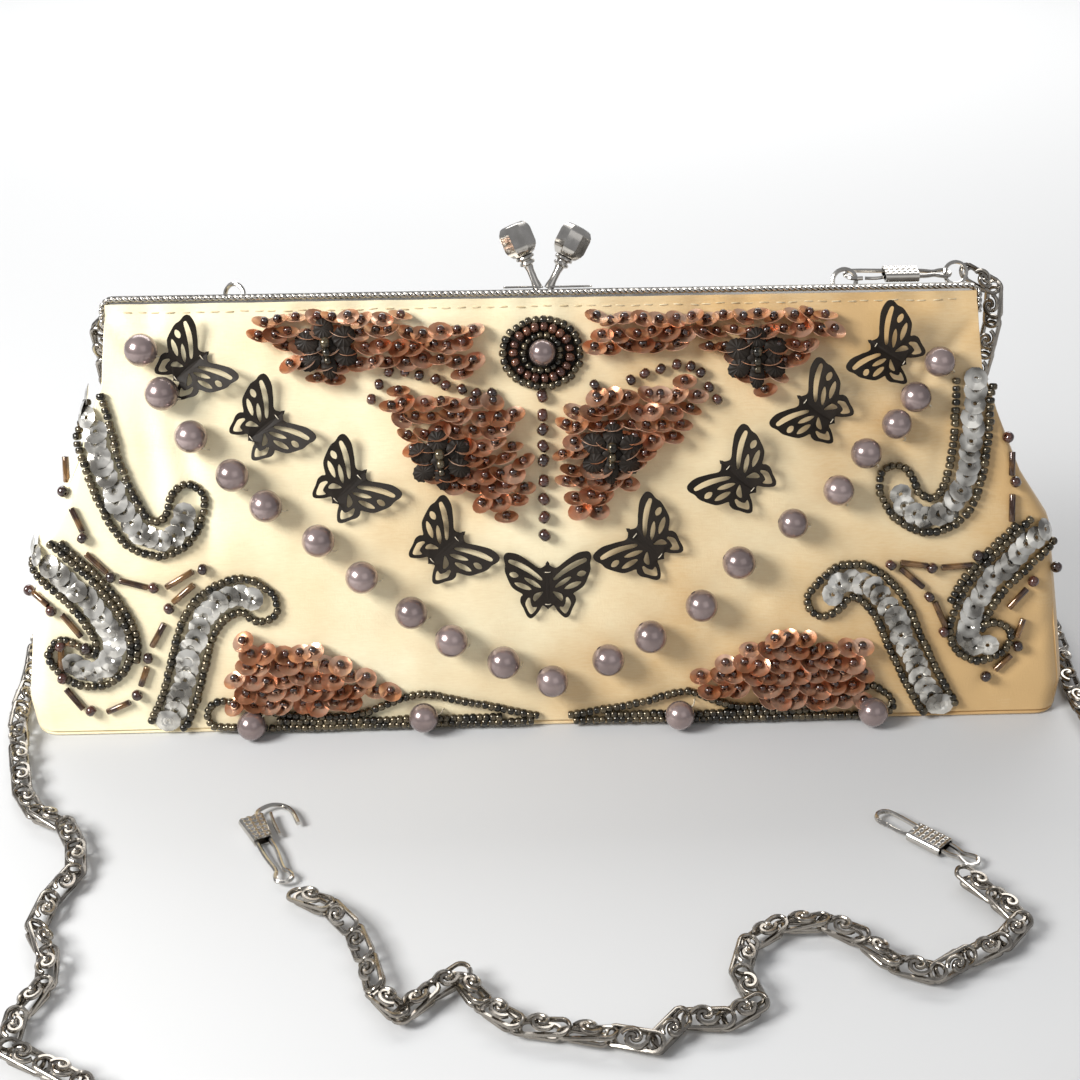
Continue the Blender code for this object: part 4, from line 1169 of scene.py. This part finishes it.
# %% Pearls and their stitches
PEARLS = [
    (-99, 11), (-94.3, 21.3), (-87.5, 31.6), (-77.7, 41), (-69.7, 48.6), (-57, 57.4), (-46.5, 66.7),
    (-34.5, 76.2), (-24.6, 83.7), (-11.5, 89.8), (0.7, 95.2), (15, 89.8), (25.7, 83.7),
    (38.6, 75.8),
    (48, 65), (61.6, 55.5), (73, 47.5), (79.8, 38.6), (87.5, 31.7), (92.4, 25.3), (98.5, 17),
    (-76, 105.6), (-32.2, 104.6), (33.3, 105.3), (83, 105.6)]
pearls, threads = [], []
for x, s in PEARLS:
    bottom = s > 100
    size = 1.02 if bottom or x > 60 else 1.11
    seat = on_face(x, s, 3.9 * size, (35 if bottom else -35) + jitter(25))
    pearls.append(placed(scaled(PEARL, size + jitter(0.02)), seat))
    stitch = [(2.0, 0, 0), (3.6, 0, 0), (4.4, 0, -0.5), (4.9, 0, -2.0), (5.1, 0, -4.2)]
    threads.append(placed(swept(even_line(smooth_line(stitch), 0.5), 0.17, 5), seat))
piece("large_pearls", joined(pearls), "pearl", crease=60)

# %% Dark bead cords along the bottom
CORDS = [
    [(-80, 107.1), (-86.5, 106.5), (-87.5, 102.5), (-84, 99.8), (-78, 101), (-69.5, 103.4),
     (-59, 104.6), (-49, 104.2), (-42.5, 102), (-36, 99.6), (-31, 99.2), (-23, 101), (-12, 103.6),
     (-2.5, 105.9)],
    [(-84, 107.3), (-60, 107.4), (-40, 107.4), (-20, 107.3), (-4, 107.2)],
    [(-70, 105.6), (-50, 106), (-30, 105.9), (-12, 105.9)],
    [(4.5, 105.9), (22, 103), (35, 99.8), (41, 101.8), (49, 104.2), (66, 104.6), (76, 102.5),
     (83, 99.3), (88, 102.8), (88.5, 106.3), (82, 107.2)],
    [(6, 107.2), (25, 107.3), (45, 107.4), (70, 107.4), (85, 107.3)],
    [(14, 105.9), (32, 105.9), (52, 106), (72, 105.6)]]
dark = []
for line in CORDS:
    dark += bead_row(line, SEED_PITCH, SEED_LIFT, SEED, 1.08)
piece("bottom_bead_cords", joined(dark), "gunmetal", crease=60)

# %% [markdown]
# ## The rosette
# A pearl in the middle, a ring of small dark beads, a ring of larger bronze beads and an outer
# ring of seed beads, all oval. They are sewn to a dark felt, which is what shows between them.

# %% Rosette
ROSETTE = (-0.5, 13.2)


def oval(half_x, half_s, count=36):
    return [(ROSETTE[0] + half_x * math.cos(a), ROSETTE[1] + half_s * math.sin(a))
            for a in np.linspace(0, 2 * math.pi, count, endpoint=False)]


outer = bead_row(oval(9.7, 8.0), 1.8, 1.1, SEED, 1.15, closed=True, wobble=0.2)
outer += bead_row(oval(4.7, 4.3), 1.7, 1.4, SEED, closed=True)
piece("rosette_outer_beads", joined(outer), "gunmetal", instead_of=["rosette_ring"], crease=60)
felt = turned([(0, -0.3), (9.0, -0.3), (9.4, 0), (9.0, 0.4), (0, 0.4)], 40, hollow=False)
felt = placed(felt, on_face(*ROSETTE, 0.35) @ Matrix.Scale(0.82, 4, (0, 1, 0)))
piece("rosette_backing", felt, "jet")
bronze = bead_row(oval(7.2, 6.2), 2.2, 1.7, ROUND, 0.82, closed=True)
piece("rosette_bronze_beads", joined(bronze), "bronze", crease=60)
centre_pearl = placed(scaled(PEARL, 0.87), on_face(*ROSETTE, 4.3, 30))
piece("rosette_centre_pearl", centre_pearl, "pearl", instead_of=["rosette_pearl"], crease=60)

# %% [markdown]
# ## Butterflies and flowers
# The butterflies are blackened stampings: a thin plate with the cells of the wing cut out, sewn
# down at two places over its body. The wings are bent up a little more towards the ends of the
# row. The flowers are pressed too, six ribbed petals round a row of three dark beads.

# %% Stamped butterfly
WING = [(0, 5.5), (2.1, 4.4), (4.8, 6.3), (7.65, 8.2), (10.3, 8.7), (11.2, 7.65), (10.9, 5.7),
        (11.0, 4.2), (10.5, 2.5), (9.4, 0), (8.2, -1.15), (6.5, -2.3), (7.0, -3.1), (7.1, -4.4),
        (6.3, -6.1), (5.5, -8.0), (4.5, -8.7), (3.4, -8.0), (2.3, -6.7), (1.5, -5.4), (0.8, -5.7),
        (0, -6.4)]
WING_SLOT = [(1.3, 1.4), (2.3, 2.7), (4.8, 4.8), (7.1, 6.2), (9.4, 7.0), (10.1, 6.8), (9.9, 6.0),
             (7.65, 4.8), (4.8, 3.1), (2.1, 1.2)]
HIND_CELL = [(5.2, -3.25), (5.9, -4.6), (5.7, -5.7), (4.6, -7.7), (3.4, -6.9), (2.9, -5.8),
             (4.0, -5.7), (4.5, -4.4), (4.6, -3.4)]
SMALL_CELL = [(1.15, -1.8), (3.4, -2.3), (3.9, -3.6), (3.25, -4.3)]


def leaf(start, end, width):
    a, b = Vector(start), Vector(end)
    along = b - a
    side = Vector((-along.y, along.x)).normalized() * width / 2
    share = [(0.0, 0), (0.2, 0.75), (0.5, 1.0), (0.8, 0.75), (1.0, 0), (0.8, -0.75), (0.5, -1.0),
             (0.2, -0.75)]
    return [tuple(a + along * u + side * v) for u, v in share]


def cut_plate(outlines, thickness):
    """A flat plate with holes and eased edges, as an array shape."""
    curve = bpy.data.curves.new("plate", "CURVE")
    curve.dimensions = "2D"
    curve.fill_mode = "BOTH"
    curve.extrude = (thickness / 2 - 0.05) * MM
    curve.bevel_depth = 0.05 * MM
    curve.bevel_resolution = 0
    for points in outlines:
        spline = curve.splines.new("POLY")
        spline.points.add(len(points) - 1)
        for knot, (x, y) in zip(spline.points, points):
            knot.co = (x * MM, y * MM, 0, 1)
        spline.use_cyclic_u = True
    obj = bpy.data.objects.new("plate", curve)
    bpy.context.scene.collection.objects.link(obj)
    bpy.context.view_layer.update()
    graph = bpy.context.evaluated_depsgraph_get()
    mesh = bpy.data.meshes.new_from_object(obj.evaluated_get(graph))
    work = bmesh.new()
    work.from_mesh(mesh)
    bmesh.ops.remove_doubles(work, verts=work.verts, dist=2e-6)
    work.to_mesh(mesh)
    work.free()
    corners = np.array([tuple(v.co) for v in mesh.vertices])
    shape = corners, [list(f.vertices) for f in mesh.polygons]
    bpy.data.objects.remove(obj)
    bpy.data.meshes.remove(mesh)
    return shape


def smooth_outline(points, spacing=0.35):
    return [tuple(p) for p in even_line(smooth_line(points, closed=True), spacing, True)]


half = [(max(x, 0.0), y) for x, y in even_line(smooth_line(WING), 0.35)]
cells = [smooth_outline(WING_SLOT), smooth_outline(leaf((1.7, -0.8), (6.1, 2.1), 1.3)),
         smooth_outline(leaf((4.2, -1.15), (8.7, 0.8), 1.45)), smooth_outline(SMALL_CELL),
         smooth_outline(HIND_CELL), smooth_outline(leaf((7.45, 2.55), (9.95, 3.25), 1.6))]
WING_PLATE = cut_plate([half] + cells, 0.4)
BODY_PROFILE = [(0, -6.3), (0.5, -5.6), (0.8, -2), (0.95, 1), (0.8, 3.6), (0.45, 5.2), (0, 5.6)]
BODY = placed(turned(BODY_PROFILE, 10, hollow=False),
              Matrix.Scale(0.3, 4, (0, 0, 1)) @ Matrix.Rotation(math.pi / 2, 4, "X"))


def mirrored(shape):
    return shape[0] * np.array([-1, 1, 1]), [face[::-1] for face in shape[1]]


def butterfly(bend):
    corners = WING_PLATE[0].copy()
    slope = math.tan(math.radians(bend))
    corners[:, 2] += slope * np.abs(corners[:, 0]) ** 1.15 / (11 * MM) ** 0.15
    wing = (corners, WING_PLATE[1])
    return joined([wing, mirrored(wing), BODY])


FLIGHT = [(-87.2, 14.8, -52, 16, 0.90), (-69.2, 29.3, -52, 13, 0.93), (-49, 44.4, -47, 10, 0.96),
          (-25.2, 60.2, -50, 8, 0.98), (0, 70.3, 0, 4, 0.98), (24.6, 60.2, 50, 12, 0.98),
          (48, 43.8, 48, 20, 0.97), (67.6, 27.8, 53, 26, 0.93), (85.6, 14.4, 57, 38, 0.90)]
for number, (x, s, turn, bend, size) in enumerate(FLIGHT, 1):
    seat = on_face(x, s, 1.1, turn)
    piece(f"stamped_butterfly_{number}", placed(scaled(butterfly(bend), size), seat), "jet",
          instead_of=[f"butterfly_{number}"], crease=35)
    for y in (3.3, -5.0):
        loop = [(-0.8, y, -1.0), (-0.65, y, 0.3), (0, y, 0.6), (0.65, y, 0.3), (0.8, y, -1.0)]
        threads.append(placed(swept(even_line(smooth_line(loop), 0.4), 0.11, 5), seat))
piece("sewing_threads", joined(threads), "thread", crease=60)


# %% Pressed flowers
def petal(half_x, half_y, height, ribs):
    """A ribbed dome with a flat back, its long way along Y."""
    sides, rings = 36, 7
    corners = [(0, 0, height), (0, 0, -0.15)]
    for level in (1, 0):
        for r in np.linspace(0.15, 1, rings):
            for a in np.linspace(0, 2 * math.pi, sides, endpoint=False):
                z = height * math.sqrt(1 - (0.96 * r) ** 2) * (1 + 0.22 * r * math.cos(ribs * a))
                edge = 1 + 0.04 * r * math.cos(ribs * a)
                corners.append((half_x * r * edge * math.cos(a), half_y * r * edge * math.sin(a),
                                z if level else -0.15))
    faces, block = [], rings * sides
    for k in range(sides):
        m = (k + 1) % sides
        faces += [[0, 2 + k, 2 + m], [1, 2 + block + m, 2 + block + k]]
        for r in range(rings - 1):
            a, b = 2 + r * sides, 2 + (r + 1) * sides
            faces += [[a + k, b + k, b + m, a + m],
                      [block + a + m, block + b + m, block + b + k, block + a + k]]
        rim = 2 + (rings - 1) * sides
        faces.append([rim + k, block + rim + k, block + rim + m, rim + m])
    return np.array(corners) * MM, faces


PETALS = [(0, 4.9, 2.5, 2.8), (63, 5.2, 2.6, 3.0), (-63, 5.2, 2.6, 3.0), (118, 5.0, 2.4, 2.9),
          (-118, 5.0, 2.4, 2.9), (180, 4.4, 1.9, 3.2)]
FLOWERS = [(-53.6, 11.5), (-26.2, 38.4), (16.4, 37.6), (52.6, 15.4)]
hearts = []
for number, (x, s) in enumerate(FLOWERS, 1):
    seat = on_face(x, s, 3.4, jitter(14))
    parts = []
    for angle, reach, half_x, half_y in PETALS:
        spin = Matrix.Rotation(math.radians(angle), 4, "Z")
        tilt = Matrix.Translation(Vector((0, reach, 0.1)) * MM) @ Matrix.Rotation(-0.18, 4, "X")
        parts.append(placed(petal(half_x, half_y, 0.8, 12), seat @ spin @ tilt))
    parts.append(placed(petal(2.6, 3.2, 1.0, 6), seat))
    for y, size in ((1.5, 1.0), (-0.9, 0.85), (-2.9, 0.7)):
        spot = seat @ Matrix.Translation(Vector((0, y, 1.2)) * MM)
        hearts.append(placed(scaled(ROUND, size), spot))
    piece(f"pressed_flower_{number}", joined(parts), "jet", instead_of=[f"flower_{number}"],
          crease=35)
piece("flower_centre_beads", joined(hearts), "gunmetal", crease=60)

# %% [markdown]
# ## Stitching under the frame
# A row of hand stitches holds the cloth to the frame. Each is a short length of thread that
# dips into the cloth at both ends.

# %% Stitches
stitches = []
for i, x in enumerate(np.arange(-103, 104, 3.6)):
    dip = [(-1.25, 0, -0.25), (-0.6, 0, 0.10), (0.6, 0, 0.10), (1.25, 0, -0.25)]
    seat = on_face(x + jitter(0.3), 2.0 + jitter(0.15), 0.12, jitter(5))
    stitches.append(placed(swept(even_line(smooth_line(dip), 0.3), 0.16, 6), seat))
piece("frame_stitches", joined(stitches), "stitch", crease=60)


# %% [markdown]
# ## Floor and light
# A plain pale floor and a bright even surround, with one broad soft light from the upper left so
# that the beads keep a highlight and the bag a soft shadow.

# %% Floor, light and surround
def area_light(name, place, aim, size, power):
    data = bpy.data.lights.new(name, "AREA")
    data.shape = "RECTANGLE"
    data.size, data.size_y = size
    data.energy = power
    light = bpy.data.objects.new(name, data)
    light.location = place
    light.rotation_euler = (Vector(aim) - Vector(place)).to_track_quat("-Z", "Y").to_euler()
    bpy.context.scene.collection.objects.link(light)
    return light


new_material("floor", Base_Color=(0.60, 0.60, 0.595, 1), Roughness=0.75)
floor_mesh = bpy.data.meshes.new("floor")
floor_mesh.from_pydata([(-3, -3, 0), (3, -3, 0), (3, 3, 0), (-3, 3, 0)], [], [(0, 1, 2, 3)])
floor_mesh.materials.append(MATERIALS["floor"])
floor = bpy.data.objects.new("floor", floor_mesh)
bpy.context.scene.collection.objects.link(floor)
area_light("key", (-0.52, -0.30, 0.44), (-0.03, 0, 0.04), (0.30, 0.26), 6.6)
area_light("fill", (0.5, -0.9, 0.7), (0, 0, 0.05), (0.8, 0.8), 1.0)
area_light("wash", (0, 0.95, 0.75), (0, 0.75, 0), (1.4, 0.8), 14.0)
world = bpy.data.worlds.new("studio")
world.use_nodes = True
backdrop = world.node_tree.nodes["Background"]
backdrop.inputs["Color"].default_value = (0.93, 0.95, 1.0, 1)
backdrop.inputs["Strength"].default_value = 0.36
bpy.context.scene.world = world
bpy.context.scene.view_settings.view_transform = "Standard"
